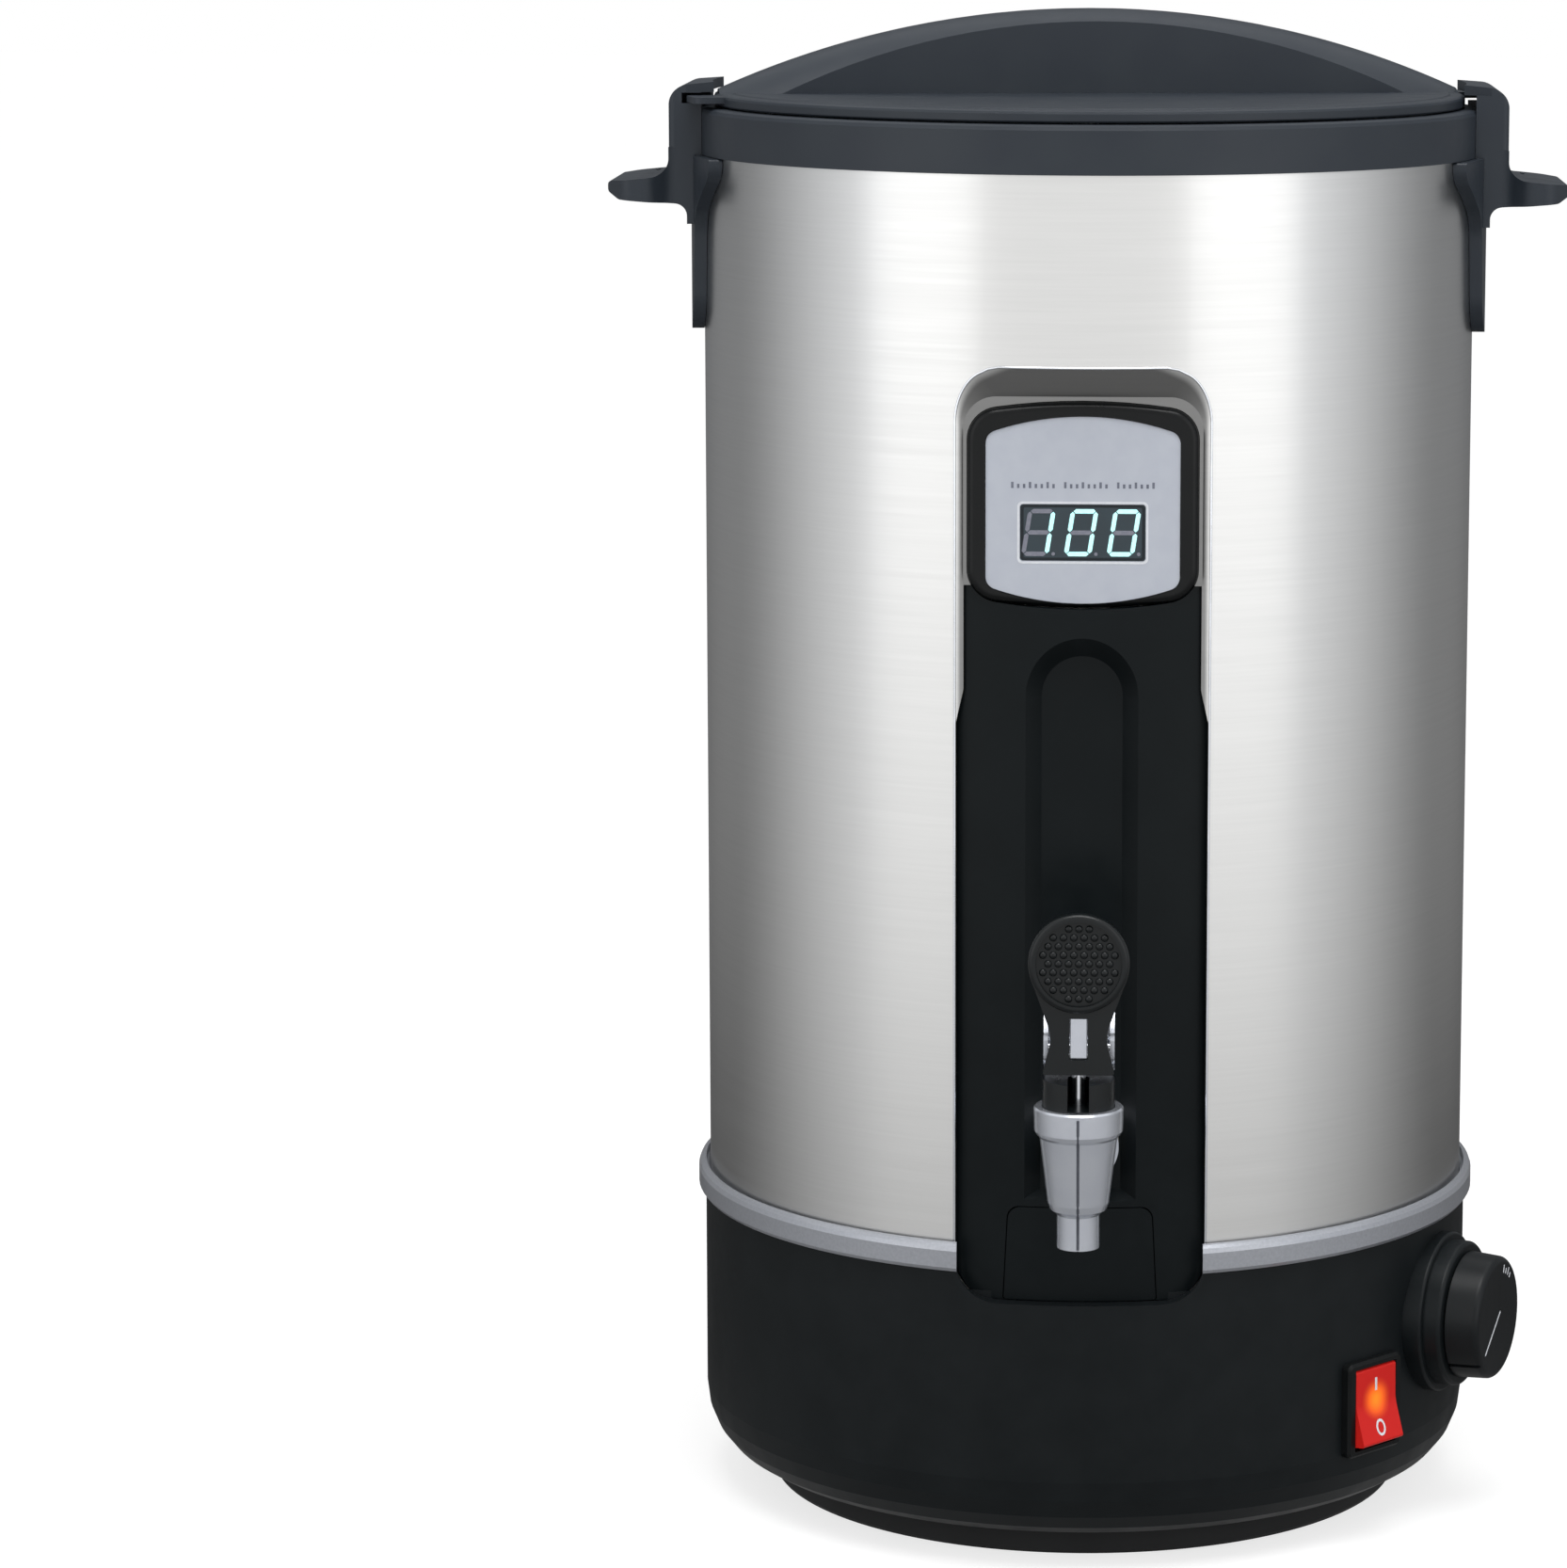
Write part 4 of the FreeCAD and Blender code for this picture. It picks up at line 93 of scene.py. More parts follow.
# %% Camera
SENSOR_MM = 36.0
CAMERA_PLACE_MM = (21.38, -1750.0, 538.4)
YAW, PITCH, ROLL = 0.928, 8.97, 0.213  # degrees
FOCUS_IN_FRAMES = 3.422  # focal length over the frame's width
SHIFT_X, SHIFT_Y = -0.18, -0.06

camera_data = bpy.data.cameras.new("camera")
camera = bpy.data.objects.new("camera", camera_data)
bpy.context.collection.objects.link(camera)
camera_data.sensor_width = SENSOR_MM
camera_data.lens = FOCUS_IN_FRAMES * SENSOR_MM
camera_data.shift_x, camera_data.shift_y = SHIFT_X, SHIFT_Y
camera_data.clip_end = 100
camera.matrix_world = (
    Matrix.Translation(Vector(CAMERA_PLACE_MM) * MM)
    @ Matrix.Rotation(math.radians(YAW), 4, "Z")
    @ Matrix.Rotation(math.radians(90 - PITCH), 4, "X")
    @ Matrix.Rotation(math.radians(ROLL), 4, "Z")
)
bpy.context.scene.camera = camera
print("lens", round(camera_data.lens, 1), "mm,", round(camera.matrix_world.translation.length, 2), "m away")

# %% [markdown]
# ## World, floor and lamps
#
# A product studio is mostly one large pale room, so the world is plain white to the eye and in reflections,
# and a little dimmer as a light. The floor adds white of its own for the same rays and stays a matt surface
# underneath, so the urn's shadow still falls on it. What a mirror sees of the studio is not even: the room
# gets darker to the sides and behind the urn, and so does the floor close to it. That is what gives a steel
# cylinder its grey edges and lets its brightness fall towards the foot. Two wide soft boxes make two soft
# bright bands.


# %% Which rays see the white studio
def add_max(tree, first, second):
    return add(tree, "ShaderNodeMath", {"operation": "MAXIMUM"}, {0: first, 1: second}).outputs[0]


def seen_white(tree):
    """1 for rays that go straight to the eye, or by way of a mirror or glass, and 0 for light on surfaces."""
    rays = add(tree, "ShaderNodeLightPath").outputs
    straight_or_mirrored = add_max(tree, rays["Is Camera Ray"], rays["Is Glossy Ray"])
    return add_max(tree, straight_or_mirrored, rays["Is Transmission Ray"])


# %% World
SKY_FOR_LIGHT = 0.72
world = bpy.data.worlds.new("studio")
bpy.context.scene.world = world
world.use_nodes = True
sky = world.node_tree
sky.nodes.clear()
level = add(sky, "ShaderNodeMapRange", None,
            {"Value": seen_white(sky), "To Min": SKY_FOR_LIGHT, "To Max": 1.0})
white = add(sky, "ShaderNodeBackground", None, {"Color": colour("#FFFFFF"), "Strength": level.outputs[0]})
add(sky, "ShaderNodeOutputWorld", None, {"Surface": white.outputs[0]})
print("world strength", SKY_FOR_LIGHT, "as a light and 1 to the eye")


# %% How bright the studio looks in a mirror, by direction and distance
TO_THE_SIDES = (50, 126, 0.24)  # degrees off the front where the fade starts and ends, and its last level
BEHIND = (130, 168, 0.6)
NEAR_THE_URN = (0.25, 1.3, 0.34)  # metres from the urn's middle, and the level at the near end
FAR_OUT = (1.4, 4.0, 1.4)  # metres again, and the level at the far end


def fade(tree, value, start, end, first, last):
    """first while value is below start, last beyond end, and a smooth change between them."""
    ends = {"Value": value, "From Min": start, "From Max": end, "To Min": first, "To Max": last}
    return add(tree, "ShaderNodeMapRange", {"interpolation_type": "SMOOTHSTEP"}, ends).outputs[0]


def product(tree, *factors):
    result = factors[0]
    for factor in factors[1:]:
        result = add(tree, "ShaderNodeMath", {"operation": "MULTIPLY"}, {0: result, 1: factor}).outputs[0]
    return result


def studio_level(tree):
    """Full at the front, more far out, low behind the urn, and lower where the floor comes close to it."""
    place = add(tree, "ShaderNodeNewGeometry").outputs["Position"]
    axes = add(tree, "ShaderNodeSeparateXYZ", None, {0: place}).outputs
    ahead = add(tree, "ShaderNodeMath", {"operation": "MULTIPLY"}, {0: axes["Y"], 1: -1.0}).outputs[0]
    turn = add(tree, "ShaderNodeMath", {"operation": "ARCTAN2"}, {0: axes["X"], 1: ahead}).outputs[0]
    azimuth = add(tree, "ShaderNodeMath", {"operation": "ABSOLUTE"}, {0: turn}).outputs[0]
    away = add(tree, "ShaderNodeVectorMath", {"operation": "LENGTH"}, {0: place}).outputs["Value"]
    turned = [fade(tree, azimuth, math.radians(start), math.radians(end), 1.0, last)
              for start, end, last in (TO_THE_SIDES, BEHIND)]
    near = fade(tree, away, NEAR_THE_URN[0], NEAR_THE_URN[1], NEAR_THE_URN[2], 1.0)
    far = fade(tree, away, FAR_OUT[0], FAR_OUT[1], 1.0, FAR_OUT[2])
    return product(tree, *turned, near, far)


# %% Floor
FLOOR_HALF_M, FLOOR_BELOW_MM = 12.0, 0.2
FLOOR_WHITE = 0.72
FLOOR_SIGNS = ((-1, -1), (1, -1), (1, 1), (-1, 1))
floor_mesh = bpy.data.meshes.new("floor")
floor_mesh.from_pydata(
    [(x * FLOOR_HALF_M, y * FLOOR_HALF_M, -FLOOR_BELOW_MM * MM) for x, y in FLOOR_SIGNS], [], [(0, 1, 2, 3)]
)
floor = bpy.data.objects.new("floor", floor_mesh)
bpy.context.collection.objects.link(floor)
paint = bpy.data.materials.new("matt_white_floor_paint")
paint.use_nodes = True
tree = paint.node_tree
tree.nodes.clear()
matt = add(tree, "ShaderNodeBsdfDiffuse", None, {"Color": colour("#A8A8A8")})
in_mirror = add(tree, "ShaderNodeLightPath").outputs["Is Glossy Ray"]
glow_level = add(tree, "ShaderNodeMix", None, {0: in_mirror, 2: FLOOR_WHITE, 3: studio_level(tree)})
glow = add(tree, "ShaderNodeEmission", None,
           {"Color": colour("#FFFFFF"), "Strength": product(tree, seen_white(tree), glow_level.outputs[0])})
both = add(tree, "ShaderNodeAddShader", None, {0: matt.outputs[0], 1: glow.outputs[0]})
mirrored = add(tree, "ShaderNodeMixShader", None, {0: in_mirror, 1: both.outputs[0], 2: glow.outputs[0]})
add(tree, "ShaderNodeOutputMaterial", None, {"Surface": mirrored.outputs[0]})
floor_mesh.materials.append(paint)
print("floor", 2 * FLOOR_HALF_M, "m across")


# %% Lamps
AIM_HEIGHT_M = 0.3


def on_circle(azimuth, distance, height):
    """A place round the urn; azimuth is turned from the front, in degrees."""
    a = math.radians(azimuth)
    return Vector((math.sin(a) * distance, -math.cos(a) * distance, height))


def soft_lamp(name, azimuth, distance, height, width, tall, watts):
    """A rectangular soft box, sizes in metres, that faces the urn's middle."""
    place = on_circle(azimuth, distance, height)
    data = bpy.data.lights.new(name, "AREA")
    data.shape, data.size, data.size_y, data.energy = "RECTANGLE", width, tall, watts
    lamp = bpy.data.objects.new(name, data)
    lamp.location = place
    lamp.rotation_mode = "QUATERNION"
    lamp.rotation_quaternion = (Vector((0, 0, AIM_HEIGHT_M)) - place).to_track_quat("-Z", "Y")
    lamp.visible_camera = False
    bpy.context.collection.objects.link(lamp)
    return lamp


soft_lamp("left_soft_box", -48, 2.0, 0.85, 1.3, 1.7, 4.4)
soft_lamp("right_soft_box", 46, 2.0, 0.85, 1.3, 1.7, 4.6)
soft_lamp("top_soft_box", 10, 0.7, 2.2, 1.4, 1.0, 26)
print("3 lamps")


# %% A round backdrop that only reflections see
DROP_AZIMUTHS = range(60, 301, 5)
DROP_AWAY_M, DROP_TALL_M = 2.6, 2.4
columns = len(DROP_AZIMUTHS)
drop_mesh = bpy.data.meshes.new("backdrop")
drop_mesh.from_pydata(
    [on_circle(a, DROP_AWAY_M, height) for height in (0.0, DROP_TALL_M) for a in DROP_AZIMUTHS], [],
    [(i, i + 1, columns + i + 1, columns + i) for i in range(columns - 1)],
)
backdrop = bpy.data.objects.new("backdrop", drop_mesh)
bpy.context.collection.objects.link(backdrop)
cloth = bpy.data.materials.new("grey_backdrop_cloth")
cloth.use_nodes = True
tree = cloth.node_tree
tree.nodes.clear()
cloth_glow = add(tree, "ShaderNodeEmission", None,
                 {"Color": colour("#FAFCFF"), "Strength": studio_level(tree)})
add(tree, "ShaderNodeOutputMaterial", None, {"Surface": cloth_glow.outputs[0]})
drop_mesh.materials.append(cloth)
backdrop.visible_camera = backdrop.visible_diffuse = False
backdrop.visible_shadow = backdrop.visible_transmission = False
print("backdrop of", len(drop_mesh.polygons), "panels")

# %% [markdown]
# ## Finishes: how a material is made here
#
# Every finish starts from what the real one is. One helper makes the Principled shader with the numbers that
# are the same all over. Another gives the place on the part in metres, so that a pattern keeps its real
# scale. The rest of each recipe is a few textures for the grain, the blemishes and the bump.


# %% Material helpers
def new_finish(name, base, roughness, metallic=0.0, **more):
    """A material and its Principled shader; base is a hex colour and more are other inputs."""
    material = bpy.data.materials.new(name)
    material.use_nodes = True
    shader = material.node_tree.nodes["Principled BSDF"]
    values = {"Base Color": colour(base), "Roughness": roughness, "Metallic": metallic}
    values.update({key.replace("_", " "): value for key, value in more.items()})
    for key, value in values.items():
        shader.inputs[key].default_value = value
    return material, material.node_tree, shader


def place_on_part(tree, stretch=(1.0, 1.0, 1.0)):
    """The place in metres, each axis multiplied by stretch."""
    where = add(tree, "ShaderNodeTexCoord").outputs["Object"]
    return add(tree, "ShaderNodeMapping", None, {"Vector": where, "Scale": stretch}).outputs[0]


def mottle(tree, shader, first, second, size_mm, low=0.35, high=0.65, stretch=(1.0, 1.0, 1.0)):
    """Lets the colour drift between two hex colours in patches of that size."""
    noise = add(tree, "ShaderNodeTexNoise", None,
                {"Vector": place_on_part(tree, stretch), "Scale": per_metre(size_mm), "Detail": 3.0})
    ramp = add(tree, "ShaderNodeMapRange", None,
               {"Value": noise.outputs["Fac"], "From Min": low, "From Max": high})
    mix = add(tree, "ShaderNodeMix", {"data_type": "RGBA"},
              {0: ramp.outputs[0], 6: colour(first), 7: colour(second)})
    tree.links.new(mix.outputs[2], shader.inputs["Base Color"])


def uneven_gloss(tree, shader, low, high, size_mm, stretch=(1.0, 1.0, 1.0)):
    """Lets the roughness drift between two values in patches of that size."""
    noise = add(tree, "ShaderNodeTexNoise", None,
                {"Vector": place_on_part(tree, stretch), "Scale": per_metre(size_mm), "Detail": 4.0})
    ends = {"Value": noise.outputs["Fac"], "From Min": 0.3, "From Max": 0.7, "To Min": low, "To Max": high}
    ramp = add(tree, "ShaderNodeMapRange", None, ends)
    tree.links.new(ramp.outputs[0], shader.inputs["Roughness"])


def grain(tree, shader, size_mm, height_mm, strength=1.0, stretch=(1.0, 1.0, 1.0), detail=2.0):
    """A fine bumpy surface with grains of that size and height."""
    noise = add(tree, "ShaderNodeTexNoise", None,
                {"Vector": place_on_part(tree, stretch), "Scale": per_metre(size_mm), "Detail": detail})
    bump = add(tree, "ShaderNodeBump", None,
               {"Height": noise.outputs["Fac"], "Distance": height_mm * MM, "Strength": strength})
    tree.links.new(bump.outputs[0], shader.inputs["Normal"])


print("material helpers ready")

# %% [markdown]
# ## Brushed stainless steel
#
# The shell is rolled from 0.8 mm stainless sheet with a brushed finish. The belt leaves fine lines that run
# round the body, so it looks satin: light smears up and down across the lines into broad upright bands.
# Anisotropy turned about the urn's axis gives that smear. Real lines are 0.05 to 0.1 mm apart, too fine to
# show, so they are drawn 0.9 mm apart and faint. The pressed walls of the front cut-out lie inside the round
# of the shell, and metal nearer to the axis is darkened with painted shade, for the shade in that recess.

# %% Brushed stainless steel
BRUSH_LINE_MM = 0.9
ROUND_THE_BODY = (0.02, 0.02, 1.0)  # long along the brushing, short across it
# painted shade on the cut-out's walls: the radius where it ends, how wide it fades and how dark it gets
UNSHADED_FROM_MM, SHADE_FADE_MM, PAINTED_SHADE_SHARE = 124.8, 1.5, 0.33


def brushed_steel(name, base, second, roughness):
    material, tree, shader = new_finish(
        name, base, roughness, metallic=1.0, Anisotropic=0.6, Anisotropic_Rotation=0.25
    )
    mottle(tree, shader, base, second, BRUSH_LINE_MM, 0.25, 0.75, ROUND_THE_BODY)
    uneven_gloss(tree, shader, roughness - 0.02, roughness + 0.02, BRUSH_LINE_MM * 2, ROUND_THE_BODY)
    grain(tree, shader, BRUSH_LINE_MM, 0.0004, 0.2, ROUND_THE_BODY, detail=0.0)
    around = add(tree, "ShaderNodeTangent", {"direction_type": "RADIAL", "axis": "Z"})
    tree.links.new(around.outputs[0], shader.inputs["Tangent"])
    return material


def paint_shade_inside(material):
    """Paints shade: whatever lies nearer to the urn's axis than the shell's face becomes a darker metal."""
    tree = material.node_tree
    shader = tree.nodes["Principled BSDF"]
    axes = add(tree, "ShaderNodeSeparateXYZ", None, {0: place_on_part(tree)}).outputs
    flat = add(tree, "ShaderNodeCombineXYZ", None, {0: axes["X"], 1: axes["Y"]}).outputs[0]
    radius = add(tree, "ShaderNodeVectorMath", {"operation": "LENGTH"}, {0: flat}).outputs["Value"]
    shaded_to_mm = UNSHADED_FROM_MM - SHADE_FADE_MM
    level = fade(tree, radius, shaded_to_mm * MM, UNSHADED_FROM_MM * MM, PAINTED_SHADE_SHARE, 1.0)
    unshaded_colour = shader.inputs["Base Color"].links[0].from_socket
    mix = add(tree, "ShaderNodeMix", {"data_type": "RGBA", "blend_type": "MULTIPLY"},
              {0: 1.0, 6: unshaded_colour, 7: level})
    tree.links.new(mix.outputs[2], shader.inputs["Base Color"])


shell_steel = brushed_steel("brushed_stainless_steel", "#D8D8D7", "#D4D4D3", 0.30)
# painted shade on the walls of the front cut-out
paint_shade_inside(shell_steel)
pot_steel = brushed_steel("satin_pot_steel", "#C9C8C4", "#BDBCB8", 0.26)
print("made", shell_steel.name, "and", pot_steel.name)

# %% [markdown]
# ## Moulded plastics
#
# The lid, rim and handles are polypropylene moulded in one dark blue grey, with the silky skin that a spark
# eroded tool leaves. The base and the front housing are a blacker ABS. The knob is a phenolic, and the tap's
# lever and the switch are nylon. All of them are dielectrics: an IOR near 1.5, no metal, and a faint grain.


# %% Moulded plastics
def moulded_plastic(name, base, second, roughness, grain_mm=0.7, height_mm=0.01, ior=1.5, gloss=0.3):
    material, tree, shader = new_finish(name, base, roughness, IOR=ior, Specular_IOR_Level=gloss)
    mottle(tree, shader, base, second, 18.0)
    uneven_gloss(tree, shader, roughness - 0.04, roughness + 0.05, 9.0)
    grain(tree, shader, grain_mm, height_mm, 0.6)
    return material


lid_plastic = moulded_plastic("moulded_grey_polypropylene", "#282E36", "#2C3239", 0.42)
base_plastic = moulded_plastic("moulded_black_abs", "#14181A", "#171B1D", 0.38, gloss=0.16)
housing_plastic = moulded_plastic("moulded_housing_abs", "#0E1315", "#111618", 0.34, gloss=0.12)
tap_plastic = moulded_plastic("moulded_tap_nylon", "#0E1214", "#111517", 0.30, gloss=0.3)
switch_plastic = moulded_plastic("moulded_switch_nylon", "#0F1112", "#121415", 0.42, gloss=0.16)
knob_plastic = moulded_plastic("moulded_knob_phenolic", "#131618", "#16191B", 0.36, gloss=0.2)
bezel_plastic = moulded_plastic("moulded_bezel_abs", "#090B0C", "#0C0E0F", 0.26, gloss=0.2)
print("made 7 plastics")

# %% [markdown]
# ## Painted, plated and clear finishes
#
# The trim ring is plastic under silver paint: metal flakes in a clear coat. The tap's small parts are chrome
# plated brass, which is nearly a mirror, and its body has a satin chrome that smears what it mirrors. The
# display's plate is aluminium with a fine satin, and its window is dark acrylic. Rubber and silicone are
# matt. Each differs mainly in metallic, roughness and grain.

# %% Silver trim paint
trim_paint, tree, shader = new_finish("silver_trim_paint", "#A3A6AD", 0.34, metallic=0.55, Coat_Weight=0.3)
mottle(tree, shader, "#9FA2A9", "#A9ACB3", 0.9, 0.3, 0.7)
grain(tree, shader, 0.6, 0.006, 0.4)
print("made", trim_paint.name)

# %% Chrome plate
chrome, tree, shader = new_finish("chrome_plate", "#DCDFE4", 0.10, metallic=1.0)
mottle(tree, shader, "#D8DBE0", "#E0E3E8", 6.0)
uneven_gloss(tree, shader, 0.08, 0.16, 5.0)
grain(tree, shader, 3.0, 0.01, 0.25)
print("made", chrome.name)

# %% Satin chrome of the tap's body
satin_chrome, tree, shader = new_finish("satin_chrome", "#CBCFD7", 0.24, metallic=0.75)
mottle(tree, shader, "#C9CDD6", "#CDD1D9", 6.0)
uneven_gloss(tree, shader, 0.23, 0.26, 8.0)
print("made", satin_chrome.name)

# %% Satin aluminium plate of the display
plate_finish, tree, shader = new_finish("satin_aluminium_plate", "#BCC1CC", 0.42, metallic=0.15, IOR=1.5)
mottle(tree, shader, "#BABFCA", "#BEC3CD", 6.0)
grain(tree, shader, 0.5, 0.004, 0.4)
print("made", plate_finish.name)

# %% Dark clear acrylic of the window
lens_finish, tree, shader = new_finish("tinted_acrylic", "#1B2E37", 0.12, IOR=1.49)
mottle(tree, shader, "#1A2C35", "#1E333D", 12.0)
uneven_gloss(tree, shader, 0.10, 0.16, 8.0)
print("made", lens_finish.name)

# %% Rubber, silicone and the rest
silicone = moulded_plastic("translucent_silicone", "#D8D4CC", "#CFCBC3", 0.55, 1.2, 0.02, 1.41)
foot_rubber = moulded_plastic("foot_rubber", "#191A1B", "#1F2021", 0.62, 0.5, 0.02, 1.52)
ceramic = moulded_plastic("glazed_ceramic", "#E8E4DA", "#DEDACF", 0.30, 2.0, 0.02, 1.54)
wool = moulded_plastic("mineral_wool", "#D9CFA8", "#C9BE95", 0.90, 1.6, 0.5, 1.5)
board = moulded_plastic("green_circuit_board", "#1F5A35", "#1B4F2F", 0.42, 0.8, 0.01, 1.55)
print("made 5 soft or plain finishes")


# %% Bright zinc, cast aluminium, brass and copper
def plain_metal(name, base, second, roughness, patch_mm, height_mm=0.01):
    material, tree, shader = new_finish(name, base, roughness, metallic=1.0)
    mottle(tree, shader, base, second, patch_mm)
    uneven_gloss(tree, shader, roughness - 0.05, roughness + 0.08, patch_mm)
    grain(tree, shader, 1.2, height_mm, 0.5)
    return material


zinc = plain_metal("bright_zinc_plate", "#BFC3C6", "#AEB2B4", 0.28, 3.0)
cast_aluminium = plain_metal("cast_aluminium", "#B8B9BA", "#A7A8A8", 0.48, 2.5, 0.05)
brass = plain_metal("drawn_brass", "#C9A961", "#B8984F", 0.26, 3.0)
copper = plain_metal("copper_tube", "#C77B58", "#B06A49", 0.32, 4.0)
print("made 4 metals")

# %% Insulated wire, brown on the right side of the urn and blue on the left
wire_jacket, tree, shader = new_finish("silicone_wire_jacket", "#7A3B22", 0.45, IOR=1.43)
across = add(tree, "ShaderNodeSeparateXYZ", None, {0: place_on_part(tree)}).outputs["X"]
is_right = add(tree, "ShaderNodeMath", {"operation": "GREATER_THAN"}, {0: across, 1: 0.0})
jacket = add(tree, "ShaderNodeMix", {"data_type": "RGBA"},
             {0: is_right.outputs[0], 6: colour("#2E5C9A"), 7: colour("#7A3B22")})
tree.links.new(jacket.outputs[2], shader.inputs["Base Color"])
grain(tree, shader, 0.8, 0.02, 0.6)
print("made", wire_jacket.name)

# %% [markdown]
# ## The lit rocker
#
# The switch's rocker is clear red polycarbonate with a small lamp behind its upper half. The lamp shows as an
# orange patch that fades into the red. A soft ball of light colour centred on the lamp drives both the base
# colour and a little emission, so it looks lit in any light.

# %% Lit rocker finish
ROCKER_AZIMUTH, ROCKER_Z, ROCKER_FACE = 47.0, 44.8, 131.0  # degrees off the front, then millimetres
LAMP_UP_MM, LAMP_CORE_MM, LAMP_REACH_MM = 2.5, 0.5, 7.5
RED, LIT_ORANGE = "#C8201C", "#FF7E1E"
rocker_red, tree, shader = new_finish("clear_red_polycarbonate", RED, 0.28, IOR=1.58, Specular_IOR_Level=0.12)
lamp_place = on_circle(ROCKER_AZIMUTH, ROCKER_FACE * MM, (ROCKER_Z + LAMP_UP_MM) * MM)
here = add(tree, "ShaderNodeTexCoord").outputs["Object"]
to_lamp = add(tree, "ShaderNodeVectorMath", {"operation": "DISTANCE"}, {0: here, 1: lamp_place})
near_lamp = fade(tree, to_lamp.outputs["Value"], LAMP_CORE_MM * MM, LAMP_REACH_MM * MM, 1.0, 0.0)
lit = add(tree, "ShaderNodeMix", {"data_type": "RGBA"},
          {0: near_lamp, 6: colour(RED), 7: colour(LIT_ORANGE)})
tree.links.new(lit.outputs[2], shader.inputs["Base Color"])
tree.links.new(lit.outputs[2], shader.inputs["Emission Color"])
power = add(tree, "ShaderNodeMapRange", None, {"Value": near_lamp, "To Min": 0.14, "To Max": 0.75})
tree.links.new(power.outputs[0], shader.inputs["Emission Strength"])
grain(tree, shader, 1.0, 0.01, 0.3)
print("made", rocker_red.name)

# %% Which part wears which finish
FINISH_OF = {
    shell_steel: ["outer_shell"],
    pot_steel: ["inner_pot", "lid_inner_cover", "heat_shield", "bottom_plate"],
    lid_plastic: ["rim_ring", "right_handle", "left_handle", "lid_shell"],
    base_plastic: ["base_shell", "knob_escutcheon"],
    housing_plastic: ["front_housing", "housing_screw_cover"],
    bezel_plastic: ["display_bezel"],
    trim_paint: ["trim_ring"],
    plate_finish: ["display_plate"],
    lens_finish: ["led_window"],
    satin_chrome: ["tap_body", "tap_fulcrum_bracket"],
    chrome: ["tap_stem", "tap_lever_pin", "tap_stem_cross_pin", "lid_retaining_clip"],
    tap_plastic: ["tap_lever", "tap_bonnet"],
    switch_plastic: ["rocker_frame", "inlet_socket", "led_module", "thermostat_body", "thermal_cutout"],
    knob_plastic: ["control_knob"],
    silicone: ["lid_gasket", "tap_washers", "tap_seat_plug"],
    foot_rubber: ["foot_ring"],
    rocker_red: ["rocker"],
    zinc: ["handle_screws", "bottom_plate_screws", "housing_screws", "display_screws", "inlet_screws",
           "terminal_screws", "tie_bolt", "tie_nut", "tap_spring", "lid_stud", "thermostat_spindle"],
    cast_aluminium: ["heating_plate"],
    brass: ["tap_locknut", "inlet_pins", "switch_terminals", "element_terminals", "temperature_probe"],
    copper: ["thermostat_bulb"],
    ceramic: ["terminal_block"],
    wool: ["insulation_blanket"],
    board: ["display_board"],
    wire_jacket: ["internal_wires"],
}
dressed = set()
for material, names in FINISH_OF.items():
    for name in names:
        for slot in nodes[name].material_slots:
            slot.material = material
        dressed.add(name)
print(len(dressed), "parts dressed, left over:", sorted(set(nodes) - dressed))

# %% [markdown]
# ## Printed marks
#
# Digits, letters and lines on the real urn are thin films of ink on a surface. A film here is built in the
# surface's own flat coordinates, right and up in millimetres, and each of its corners is then dropped on to
# the part below it with a ray. So the ink follows a curved face, and it moves with the part it is printed on.


# %% Film helpers
SINK_MM = 0.04  # how far a film reaches into the surface below it


def drop_on(target, start, way):
    """Where a ray meets the target's skin, in the row frame."""
    inverse = target.matrix_world.inverted()
    found, place, _, _ = target.ray_cast(inverse @ start, (inverse.to_3x3() @ way).normalized())
    assert found, target.name
    return target.matrix_world @ place


def film(name, target, outlines, origin, right, up, material, body="root", lift_mm=0.06, start_mm=12.0):
    """Outlines are lists of (right, up) corners in mm; a pair of equally long lists is a band between."""
    inward = up.cross(right)
    mesh = bmesh.new()
    for outline in outlines:
        banded = isinstance(outline, tuple)
        rings = []
        for loop in outline if banded else (outline,):
            top, foot = [], []
            for u, v in loop:
                start = origin + (right * u + up * v) * MM - inward * start_mm * MM
                skin = drop_on(target, start, inward)
                top.append(mesh.verts.new(skin - inward * lift_mm * MM))
                foot.append(mesh.verts.new(skin + inward * SINK_MM * MM))
            rings.append((top, foot))
        count = len(rings[0][0])
        for k in range(count):
            j = (k + 1) % count
            for top, foot in rings:
                mesh.faces.new((top[k], top[j], foot[j], foot[k]))
            if banded:
                mesh.faces.new((rings[0][0][k], rings[0][0][j], rings[1][0][j], rings[1][0][k]))
        if not banded:
            mesh.faces.new(rings[0][0])
    bmesh.ops.recalc_face_normals(mesh, faces=mesh.faces)
    return finish_piece(name, mesh, material, body)


def finish_piece(name, mesh, material, body):
    data = bpy.data.meshes.new(name)
    mesh.to_mesh(data)
    mesh.free()
    piece = bpy.data.objects.new(name, data)
    bpy.context.collection.objects.link(piece)
    data.materials.append(material)
    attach(piece, body)
    return piece


def box_loop(half_w, half_h, corner, u=0.0, v=0.0, steps=4):
    """A rounded rectangle as one loop of corners."""
    loop = []
    for quarter, (sx, sy) in enumerate(((1, 1), (-1, 1), (-1, -1), (1, -1))):
        for k in range(steps + 1):
            a = math.radians(90 * (quarter + k / steps))
            loop.append((u + sx * (half_w - corner) + corner * math.cos(a),
                         v + sy * (half_h - corner) + corner * math.sin(a)))
    return loop


def round_loop(half_w, half_h, u=0.0, v=0.0, steps=28):
    return [(u + half_w * math.cos(2 * math.pi * k / steps), v + half_h * math.sin(2 * math.pi * k / steps))
            for k in range(steps)]


